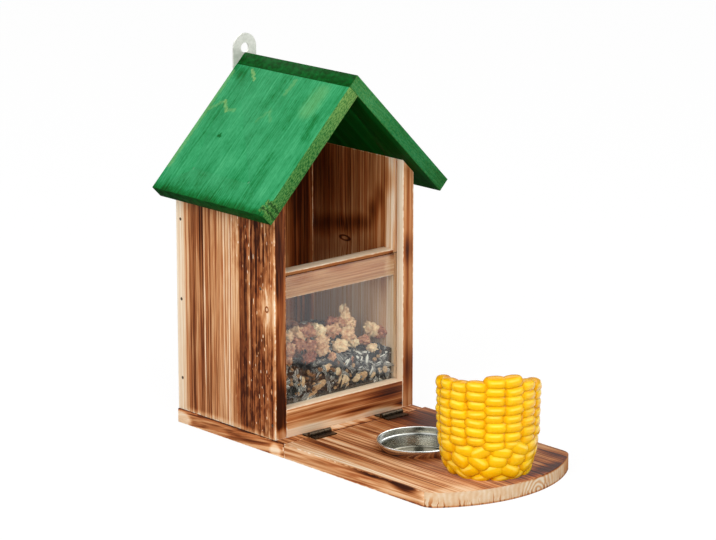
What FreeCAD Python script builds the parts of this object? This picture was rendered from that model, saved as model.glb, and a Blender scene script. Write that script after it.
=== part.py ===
import FreeCAD, Part
import math
import os

# Squirrel feeder box: a small house of charred pine planks with a green gable roof, a seed bin
# behind a clear window, and a hinged landing board that carries a steel bowl and a corn cob.
# Millimetres. X runs to the right of someone facing the feeder, Y runs from the landing board's
# front edge towards the back, Z is up. The origin is the middle of the underside.

Vector = FreeCAD.Vector
UP = Vector(0, 0, 1)
ACROSS = Vector(1, 0, 0)
BACKWARD = Vector(0, 1, 0)

# House
board = 10.0
box_width = 126.0
box_depth = 104.0
side_height = 166.5
base_side_margin = 0.75
base_ledge_margin = 2.0
seam_gap = 0.4

# Roof
roof_pitch = 45.0
roof_board = 10.0
eave_overhang = 18.5
roof_front_overhang = 12.5

# Window, its grooves and the two rails
pane_thickness = 2.0
pane_height = 90.0
pane_side_clearance = 0.5
pane_slack = 0.5
groove_setback = 6.3
groove_depth = 3.0
lower_rail_height = 20.0
upper_rail_height = 18.0
upper_rail_lift = 94.0
upper_rail_clearance = 0.2

# Feeding bowl: how far its middle lies from the seam, its cup and its collar
bowl_setback = 63.5
bowl_cup_radius = 26.0
bowl_collar_step = 2.9
bowl_rise = 5.0
bowl_floor_lift = 0.8
bowl_wall = 0.6
bowl_bead_radius = 0.7
bowl_hole_clearance = 0.4
bowl_floor_bevel = 3.0

# Corn cob and the screw that it is pushed on
bowl_to_cob = 3.2
cob_radius = 33.4
cob_foot_inset = 9.4
cob_foot_flare = 3.6
cob_foot_height = 4.5
cob_belly_inset = 1.8
cob_shoulder_height = 32.0
cob_height = 60.0
cob_cut_angle = 15.0
cob_cut_heading = 41.8
cob_seat_gap = 0.3
spike_radius = 2.2
spike_height = 44.0
spike_point = 8.0
spike_tip_radius = 0.45
spike_tip_room = 1.0
spike_head_radius = 4.2
spike_head_height = 2.4
spike_head_recess = 0.4
spike_fit = 0.05

# Landing board: its front edge lies this far in front of the screw
landing_lead = 35.5
landing_shift = 1.5
landing_side_margin = 1.0
landing_front_radius = 98.0
landing_corner_radius = 12.0

# Hinges
hinge_length = 19.0
hinge_spacing = 66.0
hinge_leaf_width = 7.0
hinge_leaf_thickness = 0.9
hinge_knuckle_radius = 1.7
hinge_knuckle_gap = 0.2
hinge_swing_gap = 0.3
hinge_pin_radius = 0.8
hinge_pin_fit = 0.05
hinge_pin_lip = 0.35
hinge_pin_head = 0.4
hinge_screw_edge = 3.5
hinge_screw_radius = 0.8
hinge_screw_head_radius = 1.5
hinge_screw_length = 6.5
hinge_screw_point = 1.6
hinge_screw_tip_radius = 0.2

# Hanger
hanger_width = 20.3
hanger_thickness = 1.2
hanger_hole_radius = 3.5
hanger_hole_rise = 17.2
hanger_drop = 45.0
hanger_corner_radius = 3.0
hanger_screw_rises = (7.0, 21.0)
hanger_screw_radius = 1.5
hanger_screw_head_radius = 2.8
hanger_screw_head = 1.6
hanger_screw_bevel = 0.8
hanger_screw_cover = 2.0

# Brads
brad_radius = 0.6
brad_length = 22.0
brad_head_radius = 1.1
brad_head = 0.5
brad_recess = 0.3
side_brad_rise = 23.0
side_brad_drop = 30.5
base_brad_inset = 20.0
back_brad_offset = 28.0
roof_brad_inset = 16.0
roof_brad_edge = 2.0
roof_brad_cover = 1.4
screw_fit = 0.03

# Fill of the bin: a bed of seed, halved kernels on it, and a few more over its left front part
seed_depth = 44.0
seed_clearance = 1.2
kernel_radius = 8.5
kernel_gap = 0.5
kernel_sink = 3.0
upper_kernel_columns = 3
upper_kernel_rows = 2

# Places worked out from the sizes
front_ledge = hinge_leaf_width + base_ledge_margin
bowl_rim_radius = bowl_cup_radius + bowl_collar_step
cob_setback = bowl_setback + bowl_rim_radius + bowl_to_cob + cob_radius
landing_length = cob_setback + landing_lead
front_reach = max(landing_length, cob_setback + cob_radius)
back_reach = front_ledge + box_depth + hanger_thickness + hanger_screw_head
seam_y = (front_reach - back_reach) / 2
box_front = seam_y + front_ledge
box_back = box_front + box_depth
bin_front = box_front + board
bin_back = box_back - board
half_width = box_width / 2
inner_half = half_width - board
base_half = half_width + base_side_margin
landing_half = base_half + landing_side_margin
base_top = board
eave_z = base_top + side_height
pitch = math.radians(roof_pitch)
slope = math.tan(pitch)
apex_z = eave_z + half_width * slope
panel_top_inner = eave_z + board * slope
roof_front = box_front - roof_front_overhang
lower_rail_top = base_top + lower_rail_height
upper_rail_bottom = base_top + upper_rail_lift
groove_width = pane_thickness + 2 * pane_slack
groove_front = box_front + groove_setback
groove_back = groove_front + groove_width
upper_rail_front = groove_back + upper_rail_clearance
pane_front = groove_front + pane_slack
pane_back = pane_front + pane_thickness
pane_half = inner_half + groove_depth - pane_side_clearance
fill_front = max(bin_front, pane_back + seed_clearance)
seed_top = base_top + seed_depth
hinge_axis_z = base_top + hinge_knuckle_radius
left_hinge_x = landing_shift - hinge_spacing / 2
right_hinge_x = landing_shift + hinge_spacing / 2
bowl_y = seam_y - bowl_setback
cob_y = seam_y - cob_setback
hanger_hole_z = apex_z + hanger_hole_rise

# Roof section: the left panel's top end butts under the right panel
down_left = Vector(-math.cos(pitch), 0, -math.sin(pitch))
down_right = Vector(math.cos(pitch), 0, -math.sin(pitch))
out_left = Vector(-math.sin(pitch), 0, math.cos(pitch))
out_right = Vector(math.sin(pitch), 0, math.cos(pitch))
eave_run = half_width / math.cos(pitch) + eave_overhang
apex = Vector(0, 0, apex_z)
butt = apex - down_right * (roof_board / math.sin(2 * pitch))
left_eave = apex + down_left * eave_run
right_eave = apex + down_right * eave_run


def block(x_range, y_range, z_range):
    """A box that spans these ranges, whose ends may come in either order."""
    low = Vector(min(x_range), min(y_range), min(z_range))
    high = Vector(max(x_range), max(y_range), max(z_range))
    return Part.makeBox(high.x - low.x, high.y - low.y, high.z - low.z, low)


def rod(start, direction, radius, length):
    """A round bar from a point along a direction."""
    return Part.makeCylinder(radius, length, start, direction)


def plank(outline, y_range):
    """A plank whose end has this outline of (x, z) points."""
    corners = [Vector(x, y_range[0], z) for x, z in outline]
    face = Part.Face(Part.makePolygon(corners + corners[:1]))
    return face.extrude(BACKWARD * (y_range[1] - y_range[0]))


def turned(profile, x, y):
    """A solid turned about the vertical line at x, y from (radius, z) points."""
    corners = [Vector(radius, 0, z) for radius, z in profile]
    face = Part.Face(Part.makePolygon(corners + corners[:1]))
    solid = face.revolve(Vector(0, 0, 0), UP, 360)
    solid.translate(Vector(x, y, 0))
    return solid


def brad(seat, direction, length=brad_length):
    """A brad driven from a point on the surface, sunk a little, and the hole it needs."""
    top = seat + direction * brad_recess
    shank = rod(top, direction, brad_radius, length - brad_recess)
    solid = shank.fuse(rod(top, direction, brad_head_radius, brad_head)).removeSplitter()
    hole = rod(seat, direction, brad_radius + screw_fit, length + screw_fit)
    mouth = rod(seat, direction, brad_head_radius + screw_fit, brad_recess + brad_head + screw_fit)
    return solid, hole.fuse(mouth)


def flat_screw(seat):
    """A countersunk hinge screw that goes down from its seat, and the hole it needs."""
    sink = hinge_screw_head_radius - hinge_screw_radius
    shank_length = hinge_screw_length - sink - hinge_screw_point
    cone = Part.makeCone(hinge_screw_head_radius, hinge_screw_radius, sink, seat, -UP)
    shank = rod(seat - UP * sink, -UP, hinge_screw_radius, shank_length)
    point = Part.makeCone(hinge_screw_radius, hinge_screw_tip_radius, hinge_screw_point,
                          seat - UP * (sink + shank_length), -UP)
    hole = rod(seat, -UP, hinge_screw_radius + screw_fit, hinge_screw_length + screw_fit)
    mouth = Part.makeCone(hinge_screw_head_radius + screw_fit, hinge_screw_radius + screw_fit, sink,
                          seat, -UP)
    return cone.fuse([shank, point]).removeSplitter(), hole.fuse(mouth)


def pan_screw(seat):
    """A pan head screw driven forward through the hanger into the back panel, and its hole."""
    length = hanger_thickness + board - hanger_screw_cover
    rim = hanger_screw_head - hanger_screw_bevel
    head = rod(seat, BACKWARD, hanger_screw_head_radius, rim)
    crown = Part.makeCone(hanger_screw_head_radius, hanger_screw_head_radius - hanger_screw_bevel,
                          hanger_screw_bevel, seat + BACKWARD * rim, BACKWARD)
    shank = rod(seat, -BACKWARD, hanger_screw_radius, length)
    hole = rod(seat, -BACKWARD, hanger_screw_radius + screw_fit, length + screw_fit)
    return head.fuse([crown, shank]).removeSplitter(), hole


def solids(pairs):
    return [solid for solid, hole in pairs]


def holes(pairs):
    return [hole for solid, hole in pairs]


def base_board():
    return block((-base_half, base_half), (seam_y + seam_gap / 2, box_back), (0, base_top))


def side_panel(side):
    """A side of the house, bevelled under the roof, with the groove that the window slides in."""
    outer = side * half_width
    inner = side * inner_half
    panel = plank([(outer, base_top), (outer, eave_z), (inner, panel_top_inner), (inner, base_top)],
                  (box_front, box_back))
    groove = block((inner, inner + side * groove_depth), (groove_front, groove_back),
                   (base_top, panel_top_inner))
    return panel.cut(groove)


def back_panel():
    return plank([(-inner_half, base_top), (-inner_half, panel_top_inner), (0, apex_z),
                  (inner_half, panel_top_inner), (inner_half, base_top)], (bin_back, box_back))


def lower_rail():
    return block((-inner_half, inner_half), (box_front, bin_front), (base_top, lower_rail_top))


def upper_rail():
    return block((-inner_half, inner_half), (upper_rail_front, upper_rail_front + board),
                 (upper_rail_bottom, upper_rail_bottom + upper_rail_height))


def window_pane():
    return block((-pane_half, pane_half), (pane_front, pane_back),
                 (lower_rail_top, lower_rail_top + pane_height))


def left_roof():
    section = [apex, butt, left_eave + out_left * roof_board, left_eave]
    return plank([(point.x, point.z) for point in section], (roof_front, box_back))


def right_roof():
    section = [butt, butt + out_right * roof_board, right_eave + out_right * roof_board, right_eave]
    return plank([(point.x, point.z) for point in section], (roof_front, box_back))


def landing_outline():
    """The landing board's outline: straight sides, a wide arc in front, rounded corners."""
    back = seam_y - seam_gap / 2
    front = seam_y - landing_length
    arc_centre = front + landing_front_radius
    inner_radius = landing_front_radius - landing_corner_radius
    corner_x = landing_half - landing_corner_radius
    corner_y = arc_centre - math.sqrt(inner_radius ** 2 - corner_x ** 2)
    swing = math.atan2(corner_x, arc_centre - corner_y)
    mid_turn = (swing + math.pi / 2) / 2
    touch = Vector(landing_front_radius * math.sin(swing),
                   arc_centre - landing_front_radius * math.cos(swing), 0)
    corner_mid = Vector(corner_x + landing_corner_radius * math.sin(mid_turn),
                        corner_y - landing_corner_radius * math.cos(mid_turn), 0)
    side_end = Vector(landing_half, corner_y, 0)
    back_corner = Vector(landing_half, back, 0)

    def flipped(point):
        return Vector(-point.x, point.y, 0)

    edges = [
        Part.makeLine(flipped(back_corner), back_corner),
        Part.makeLine(back_corner, side_end),
        Part.Arc(side_end, corner_mid, touch).toShape(),
        Part.Arc(touch, Vector(0, front, 0), flipped(touch)).toShape(),
        Part.Arc(flipped(touch), flipped(corner_mid), flipped(side_end)).toShape(),
        Part.makeLine(flipped(side_end), flipped(back_corner)),
    ]
    outline = Part.Face(Part.Wire(edges))
    outline.translate(Vector(landing_shift, 0, 0))
    return outline


def landing_board():
    plate = landing_outline().extrude(UP * board)
    bowl_hole = rod(Vector(landing_shift, bowl_y, 0), UP, bowl_cup_radius + bowl_hole_clearance, board)
    return plate.cut(bowl_hole)


def feeding_bowl():
    """A pressed steel cup: a wide collar stands on the board, the narrower cup drops through it."""
    bead_z = base_top + bowl_rise - bowl_bead_radius
    collar = bowl_rim_radius - bowl_bead_radius / 2
    floor_top = bowl_floor_lift + bowl_wall
    outer = [(0, bowl_floor_lift),
             (bowl_cup_radius - bowl_floor_bevel, bowl_floor_lift),
             (bowl_cup_radius, bowl_floor_lift + bowl_floor_bevel),
             (bowl_cup_radius, base_top),
             (collar, base_top),
             (collar, bead_z)]
    inner = [(0, floor_top),
             (bowl_cup_radius - bowl_wall - bowl_floor_bevel, floor_top),
             (bowl_cup_radius - bowl_wall, floor_top + bowl_floor_bevel),
             (bowl_cup_radius - bowl_wall, base_top + bowl_wall),
             (collar - bowl_wall, base_top + bowl_wall),
             (collar - bowl_wall, bead_z)]
    shell = turned(outer + inner[::-1], landing_shift, bowl_y)
    bead = Part.makeTorus(bowl_rim_radius - bowl_bead_radius, bowl_bead_radius,
                          Vector(landing_shift, bowl_y, bead_z), UP)
    return shell.fuse(bead).removeSplitter()


def corn_spike():
    """A countersunk screw from below whose point stands up into the cob, and its hole."""
    foot = Vector(landing_shift, cob_y, 0)
    neck_z = spike_head_recess + spike_head_height
    shoulder_z = base_top + spike_height - spike_point
    head = Part.makeCone(spike_head_radius, spike_radius, spike_head_height,
                         foot + UP * spike_head_recess, UP)
    shank = rod(foot + UP * neck_z, UP, spike_radius, shoulder_z - neck_z)
    point = Part.makeCone(spike_radius, spike_tip_radius, spike_point, foot + UP * shoulder_z, UP)
    mouth = rod(foot, UP, spike_head_radius + screw_fit, spike_head_recess)
    sink = Part.makeCone(spike_head_radius + screw_fit, spike_radius + screw_fit, spike_head_height,
                         foot + UP * spike_head_recess, UP)
    hole = rod(foot, UP, spike_radius + screw_fit, board)
    return head.fuse([shank, point]).removeSplitter(), hole.fuse([sink, mouth])


def corn_cob():
    """A chunk of cob, narrowing at its foot and cut off at a slant, bored for the screw."""
    foot_z = base_top + cob_seat_gap
    foot_radius = cob_radius - cob_foot_inset
    tall = cob_height + cob_radius * math.tan(math.radians(cob_cut_angle))
    start = Vector(0, 0, foot_z)
    end = Vector(0, 0, foot_z + tall)
    foot = Vector(foot_radius, 0, foot_z)
    knee = Vector(foot_radius + cob_foot_flare, 0, foot_z + cob_foot_height)
    belly = Vector(cob_radius - cob_belly_inset, 0, foot_z + cob_shoulder_height / 2)
    shoulder = Vector(cob_radius, 0, foot_z + cob_shoulder_height)
    top = Vector(cob_radius, 0, foot_z + tall)
    edges = [Part.makeLine(start, foot), Part.makeLine(foot, knee),
             Part.Arc(knee, belly, shoulder).toShape(), Part.makeLine(shoulder, top),
             Part.makeLine(top, end), Part.makeLine(end, start)]
    cob = Part.Face(Part.Wire(edges)).revolve(Vector(0, 0, 0), UP, 360)
    knife = block((-tall, tall), (-tall, tall), (0, tall))
    knife.rotate(Vector(0, 0, 0), ACROSS, -cob_cut_angle)
    knife.rotate(Vector(0, 0, 0), UP, -cob_cut_heading)
    knife.translate(UP * (foot_z + cob_height))
    bore = rod(start, UP, spike_radius + spike_fit, spike_height + spike_tip_room)
    cob = cob.cut([knife, bore])
    cob.translate(Vector(landing_shift, cob_y, 0))
    return cob


def hinge(centre_x):
    """A small butt hinge laid open over the seam: rear leaf, front leaf, pin, and its screws."""
    knuckle_length = (hinge_length - 2 * hinge_knuckle_gap) / 3
    left = centre_x - hinge_length / 2
    starts = [left + turn * (knuckle_length + hinge_knuckle_gap) for turn in range(3)]
    leaf_z = (base_top, base_top + hinge_leaf_thickness)
    clear = hinge_knuckle_radius + hinge_swing_gap
    screw_offset = (clear + hinge_leaf_width) / 2
    screw_half = hinge_length / 2 - hinge_screw_edge

    def knuckle(x, side):
        barrel = rod(Vector(x, seam_y, hinge_axis_z), ACROSS, hinge_knuckle_radius, knuckle_length)
        tongue = block((x, x + knuckle_length), (seam_y, seam_y + side * hinge_leaf_width), leaf_z)
        return barrel.fuse(tongue)

    def leaf(side, knuckle_starts):
        plate = block((left, left + hinge_length),
                      (seam_y + side * clear, seam_y + side * hinge_leaf_width), leaf_z)
        bore = rod(Vector(left, seam_y, hinge_axis_z), ACROSS, hinge_pin_radius + hinge_pin_fit,
                   hinge_length)
        screws = [flat_screw(Vector(centre_x + offset, seam_y + side * screw_offset, leaf_z[1]))
                  for offset in (-screw_half, screw_half)]
        whole = plate.fuse([knuckle(x, side) for x in knuckle_starts]).removeSplitter()
        return whole.cut([bore] + holes(screws)), screws

    rear, rear_screws = leaf(1, [starts[0], starts[2]])
    front, front_screws = leaf(-1, [starts[1]])
    pin = rod(Vector(left, seam_y, hinge_axis_z), ACROSS, hinge_pin_radius, hinge_length)
    heads = [rod(Vector(x, seam_y, hinge_axis_z), ACROSS, hinge_pin_radius + hinge_pin_lip,
                 hinge_pin_head) for x in (left - hinge_pin_head, left + hinge_length)]
    return rear, front, pin.fuse(heads).removeSplitter(), rear_screws, front_screws


def hanger():
    """A flat steel strap with a round eye at its top, and the screws that hold it."""
    half = hanger_width / 2
    low = apex_z - hanger_drop
    corner_x = half - hanger_corner_radius
    corner_z = low + hanger_corner_radius
    diagonal = hanger_corner_radius * math.sqrt(0.5)

    def at(x, z):
        return Vector(x, box_back, z)

    edges = [
        Part.makeLine(at(-half, corner_z), at(-half, hanger_hole_z)),
        Part.Arc(at(-half, hanger_hole_z), at(0, hanger_hole_z + half), at(half, hanger_hole_z)).toShape(),
        Part.makeLine(at(half, hanger_hole_z), at(half, corner_z)),
        Part.Arc(at(half, corner_z), at(corner_x + diagonal, corner_z - diagonal),
                 at(corner_x, low)).toShape(),
        Part.makeLine(at(corner_x, low), at(-corner_x, low)),
        Part.Arc(at(-corner_x, low), at(-corner_x - diagonal, corner_z - diagonal),
                 at(-half, corner_z)).toShape(),
    ]
    strap = Part.Face(Part.Wire(edges)).extrude(BACKWARD * hanger_thickness)
    eye = rod(at(0, hanger_hole_z), BACKWARD, hanger_hole_radius, hanger_thickness)
    screws = [pan_screw(Vector(0, box_back + hanger_thickness, low + rise)) for rise in hanger_screw_rises]
    return strap.cut([eye] + holes(screws)), screws


def side_brads(side):
    """Three brads through a side panel into the edge of the back panel."""
    lowest = base_top + side_brad_rise
    highest = eave_z - side_brad_drop
    return [brad(Vector(side * half_width, (bin_back + box_back) / 2, z), ACROSS * -side)
            for z in (lowest, (lowest + highest) / 2, highest)]


def rail_brads(side):
    """One brad through a side panel into the end of each rail."""
    lower = Vector(side * half_width, box_front + groove_setback / 2, base_top + lower_rail_height / 2)
    upper = Vector(side * half_width, upper_rail_front + board / 2,
                   upper_rail_bottom + upper_rail_height / 2)
    return [brad(lower, ACROSS * -side), brad(upper, ACROSS * -side)]


def base_brads(side):
    """Two brads up through the base board into a side panel."""
    middle = side * (half_width - board / 2)
    return [brad(Vector(middle, y, 0), UP) for y in (box_front + base_brad_inset,
                                                     bin_back - base_brad_inset)]


def back_brads():
    """Two brads up through the base board into the back panel."""
    return [brad(Vector(x, (bin_back + box_back) / 2, 0), UP)
            for x in (-back_brad_offset, back_brad_offset)]


def ridge_brads():
    """Three brads through the right roof panel into the left one's end."""
    seat = (apex + butt) * 0.5 + out_right * roof_board
    return [brad(Vector(seat.x, y, seat.z), -out_right)
            for y in (roof_front + roof_brad_inset, (roof_front + box_back) / 2,
                      box_back - roof_brad_inset)]


def eave_brads(side):
    """Two brads through a roof panel into the bevelled top of the side panel."""
    outward = out_right if side > 0 else out_left
    entry = Vector(side * (half_width - roof_brad_edge), 0, eave_z + roof_brad_edge * slope)
    seat = entry + outward * roof_board
    length = roof_board + (board - roof_brad_edge - roof_brad_cover) / math.sin(pitch)
    return [brad(Vector(seat.x, y, seat.z), -outward, length)
            for y in (box_front + base_brad_inset, bin_back - roof_brad_inset)]


def walnut_heap():
    """Kernels lying in rows on the seed, with a few more in the hollows between them."""
    apart = 2 * kernel_radius + kernel_gap
    last_x = inner_half - kernel_gap - kernel_radius
    first_y = fill_front + kernel_gap + kernel_radius
    last_y = bin_back - kernel_gap - kernel_radius
    columns = 1 + int(2 * last_x // apart)
    rows = 1 + int((last_y - first_y) // apart)
    step_x = 2 * last_x / (columns - 1)
    step_y = (last_y - first_y) / (rows - 1)
    low_z = seed_top + kernel_radius - kernel_sink
    high_z = low_z + math.sqrt(apart ** 2 - (step_x / 2) ** 2 - (step_y / 2) ** 2)

    def kernel(column, row, z):
        return Part.makeSphere(kernel_radius, Vector(column * step_x - last_x, first_y + row * step_y, z))

    bed = seed_bed()
    lower = [kernel(column, row, low_z).cut(bed) for column in range(columns) for row in range(rows)]
    upper = [kernel(column + 0.5, row + 0.5, high_z)
             for column in range(upper_kernel_columns) for row in range(upper_kernel_rows)]
    return lower + upper


def seed_bed():
    return block((-inner_half, inner_half), (fill_front, bin_back), (base_top, seed_top))


# Fasteners, and the planks that each one pierces
sides = {"left": -1, "right": 1}
side_nails = {name: side_brads(side) for name, side in sides.items()}
rail_nails = {name: rail_brads(side) for name, side in sides.items()}
base_nails = {name: base_brads(side) for name, side in sides.items()}
eave_nails = {name: eave_brads(side) for name, side in sides.items()}
ridge_nails = ridge_brads()
back_nails = back_brads()
both_base_nails = base_nails["left"] + base_nails["right"] + back_nails
both_side_nails = side_nails["left"] + side_nails["right"]
lower_rail_nails = [rail_nails["left"][0], rail_nails["right"][0]]
upper_rail_nails = [rail_nails["left"][1], rail_nails["right"][1]]
hinges = {"left": hinge(left_hinge_x), "right": hinge(right_hinge_x)}
base_screws = [screw for leaves in hinges.values() for screw in leaves[3]]
landing_screws = [screw for leaves in hinges.values() for screw in leaves[4]]
strap, strap_screws = hanger()
spike, spike_hole = corn_spike()

nodes = {
    "base_board": base_board().cut(holes(both_base_nails + base_screws)),
    "back_panel": back_panel().cut(holes(both_side_nails + back_nails + strap_screws)),
    "lower_front_rail": lower_rail().cut(holes(lower_rail_nails)),
    "upper_front_rail": upper_rail().cut(holes(upper_rail_nails)),
    "window_pane": window_pane(),
    "left_roof_panel": left_roof().cut(holes(ridge_nails + eave_nails["left"])),
    "right_roof_panel": right_roof().cut(holes(ridge_nails + eave_nails["right"])),
    "hanger_strap": strap,
    "hanger_screws": Part.makeCompound(solids(strap_screws)),
    "side_brads": Part.makeCompound(solids(both_side_nails)),
    "rail_brads": Part.makeCompound(solids(lower_rail_nails + upper_rail_nails)),
    "base_brads": Part.makeCompound(solids(both_base_nails)),
    "roof_brads": Part.makeCompound(solids(ridge_nails + eave_nails["left"] + eave_nails["right"])),
    "landing_board": landing_board().cut(holes(landing_screws) + [spike_hole]),
    "base_hinge_screws": Part.makeCompound(solids(base_screws)),
    "board_hinge_screws": Part.makeCompound(solids(landing_screws)),
    "feeding_bowl": feeding_bowl(),
    "corn_spike": spike,
    "corn_cob": corn_cob(),
    "seed_mix": seed_bed(),
    "walnut_kernels": Part.makeCompound(walnut_heap()),
}
for name, side in sides.items():
    pierced = side_nails[name] + rail_nails[name] + base_nails[name] + eave_nails[name]
    nodes[name + "_side_panel"] = side_panel(side).cut(holes(pierced))
    nodes[name + "_hinge_rear_leaf"] = hinges[name][0]
    nodes[name + "_hinge_front_leaf"] = hinges[name][1]
    nodes[name + "_hinge_pin"] = hinges[name][2]

os.makedirs("parts", exist_ok=True)
for name, shape in nodes.items():
    shape.exportStep("parts/" + name + ".step")
    print(name, len(shape.Solids), "solids, volume", round(shape.Volume, 1), "valid", shape.isValid())
whole = Part.makeCompound(list(nodes.values())).BoundBox
print("whole box", round(whole.XLength, 2), round(whole.YLength, 2), round(whole.ZLength, 2),
      "middle", round(whole.Center.x, 3), round(whole.Center.y, 3), "lowest", round(whole.ZMin, 3))
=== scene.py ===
# %% [markdown]
# Squirrel feeder box. The real object is a small house of torched pine planks with a green stained
# gable roof, a seed bin behind a clear window, and a hinged landing board with a steel bowl and a corn
# cob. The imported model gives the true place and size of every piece. This lesson dresses it: each
# piece is modelled where the frame says, gets a finish made of nodes, and rides on its body.

# %% The frame
import math
import random

import bpy
from mathutils import Matrix, Vector


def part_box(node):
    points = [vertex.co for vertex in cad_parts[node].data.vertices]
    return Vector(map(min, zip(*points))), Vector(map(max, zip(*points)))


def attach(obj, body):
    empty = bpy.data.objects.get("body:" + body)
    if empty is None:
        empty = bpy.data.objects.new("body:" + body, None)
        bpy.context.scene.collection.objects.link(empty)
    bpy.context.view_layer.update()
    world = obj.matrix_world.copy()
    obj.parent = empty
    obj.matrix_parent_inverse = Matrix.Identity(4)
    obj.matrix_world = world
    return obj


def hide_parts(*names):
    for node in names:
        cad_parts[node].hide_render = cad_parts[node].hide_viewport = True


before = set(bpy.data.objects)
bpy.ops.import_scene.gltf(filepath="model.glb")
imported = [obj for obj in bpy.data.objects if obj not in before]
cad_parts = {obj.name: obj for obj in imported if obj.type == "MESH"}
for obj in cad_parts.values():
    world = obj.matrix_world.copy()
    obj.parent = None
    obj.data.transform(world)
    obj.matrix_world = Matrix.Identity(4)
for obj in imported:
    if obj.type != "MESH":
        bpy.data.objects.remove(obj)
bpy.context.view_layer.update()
MM = 0.001

# %% [markdown]
# The camera stands where the photographer stood. Its angle, distance and lens were worked out from
# the straight edges of the box, so the numbers below are real ones: a long lens, two metres away,
# a little above the object and to its left. Nothing is shifted, and there is no depth of field.

# %% The camera
CAMERA_AZIMUTH = -41.93
CAMERA_ELEVATION = 14.26
CAMERA_DISTANCE = 2064.0
CAMERA_TARGET = Vector((-14.56, 4.35, 125.92))
CAMERA_LENS = 155.7
SENSOR_WIDTH = 36.0


def towards_viewer(azimuth, elevation):
    """The direction from the object to someone who looks at it from these angles in degrees."""
    turn, lift = math.radians(azimuth), math.radians(elevation)
    return Vector((math.sin(turn) * math.cos(lift), -math.cos(turn) * math.cos(lift), math.sin(lift)))


def aim(thing, place, target):
    """Puts a camera or lamp at a place in mm and points it at another."""
    thing.location = place * MM
    thing.rotation_euler = (target - place).to_track_quat("-Z", "Y").to_euler()


sight = towards_viewer(CAMERA_AZIMUTH, CAMERA_ELEVATION)
lens = bpy.data.cameras.new("photo_camera")
lens.lens = CAMERA_LENS
lens.sensor_width = SENSOR_WIDTH
camera = bpy.data.objects.new("photo_camera", lens)
bpy.context.collection.objects.link(camera)
aim(camera, CAMERA_TARGET + sight * CAMERA_DISTANCE, CAMERA_TARGET)
bpy.context.scene.camera = camera
bpy.context.scene.view_settings.view_transform = "Standard"
print("camera at", [round(v) for v in camera.location / MM], "mm")

# %% [markdown]
# A finish is a small graph of nodes. Writing such graphs by hand gets long, so a recipe is a helper
# that adds one node per line and wires it. All patterns read Object coordinates, turned into
# millimetres, so that a grain line has the same size on every board and stays put when a piece moves.
# A recipe can be given an origin, such as a board's lowest corner, and then measures from there.

# %% A recipe for a material
def paint(red, green, blue):
    """A colour given by the three numbers from 0 to 255 that a picture of it would have."""
    linear = []
    for number in (red, green, blue):
        share = number / 255
        linear.append(share / 12.92 if share <= 0.04045 else ((share + 0.055) / 1.055) ** 2.4)
    return (*linear, 1.0)


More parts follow.
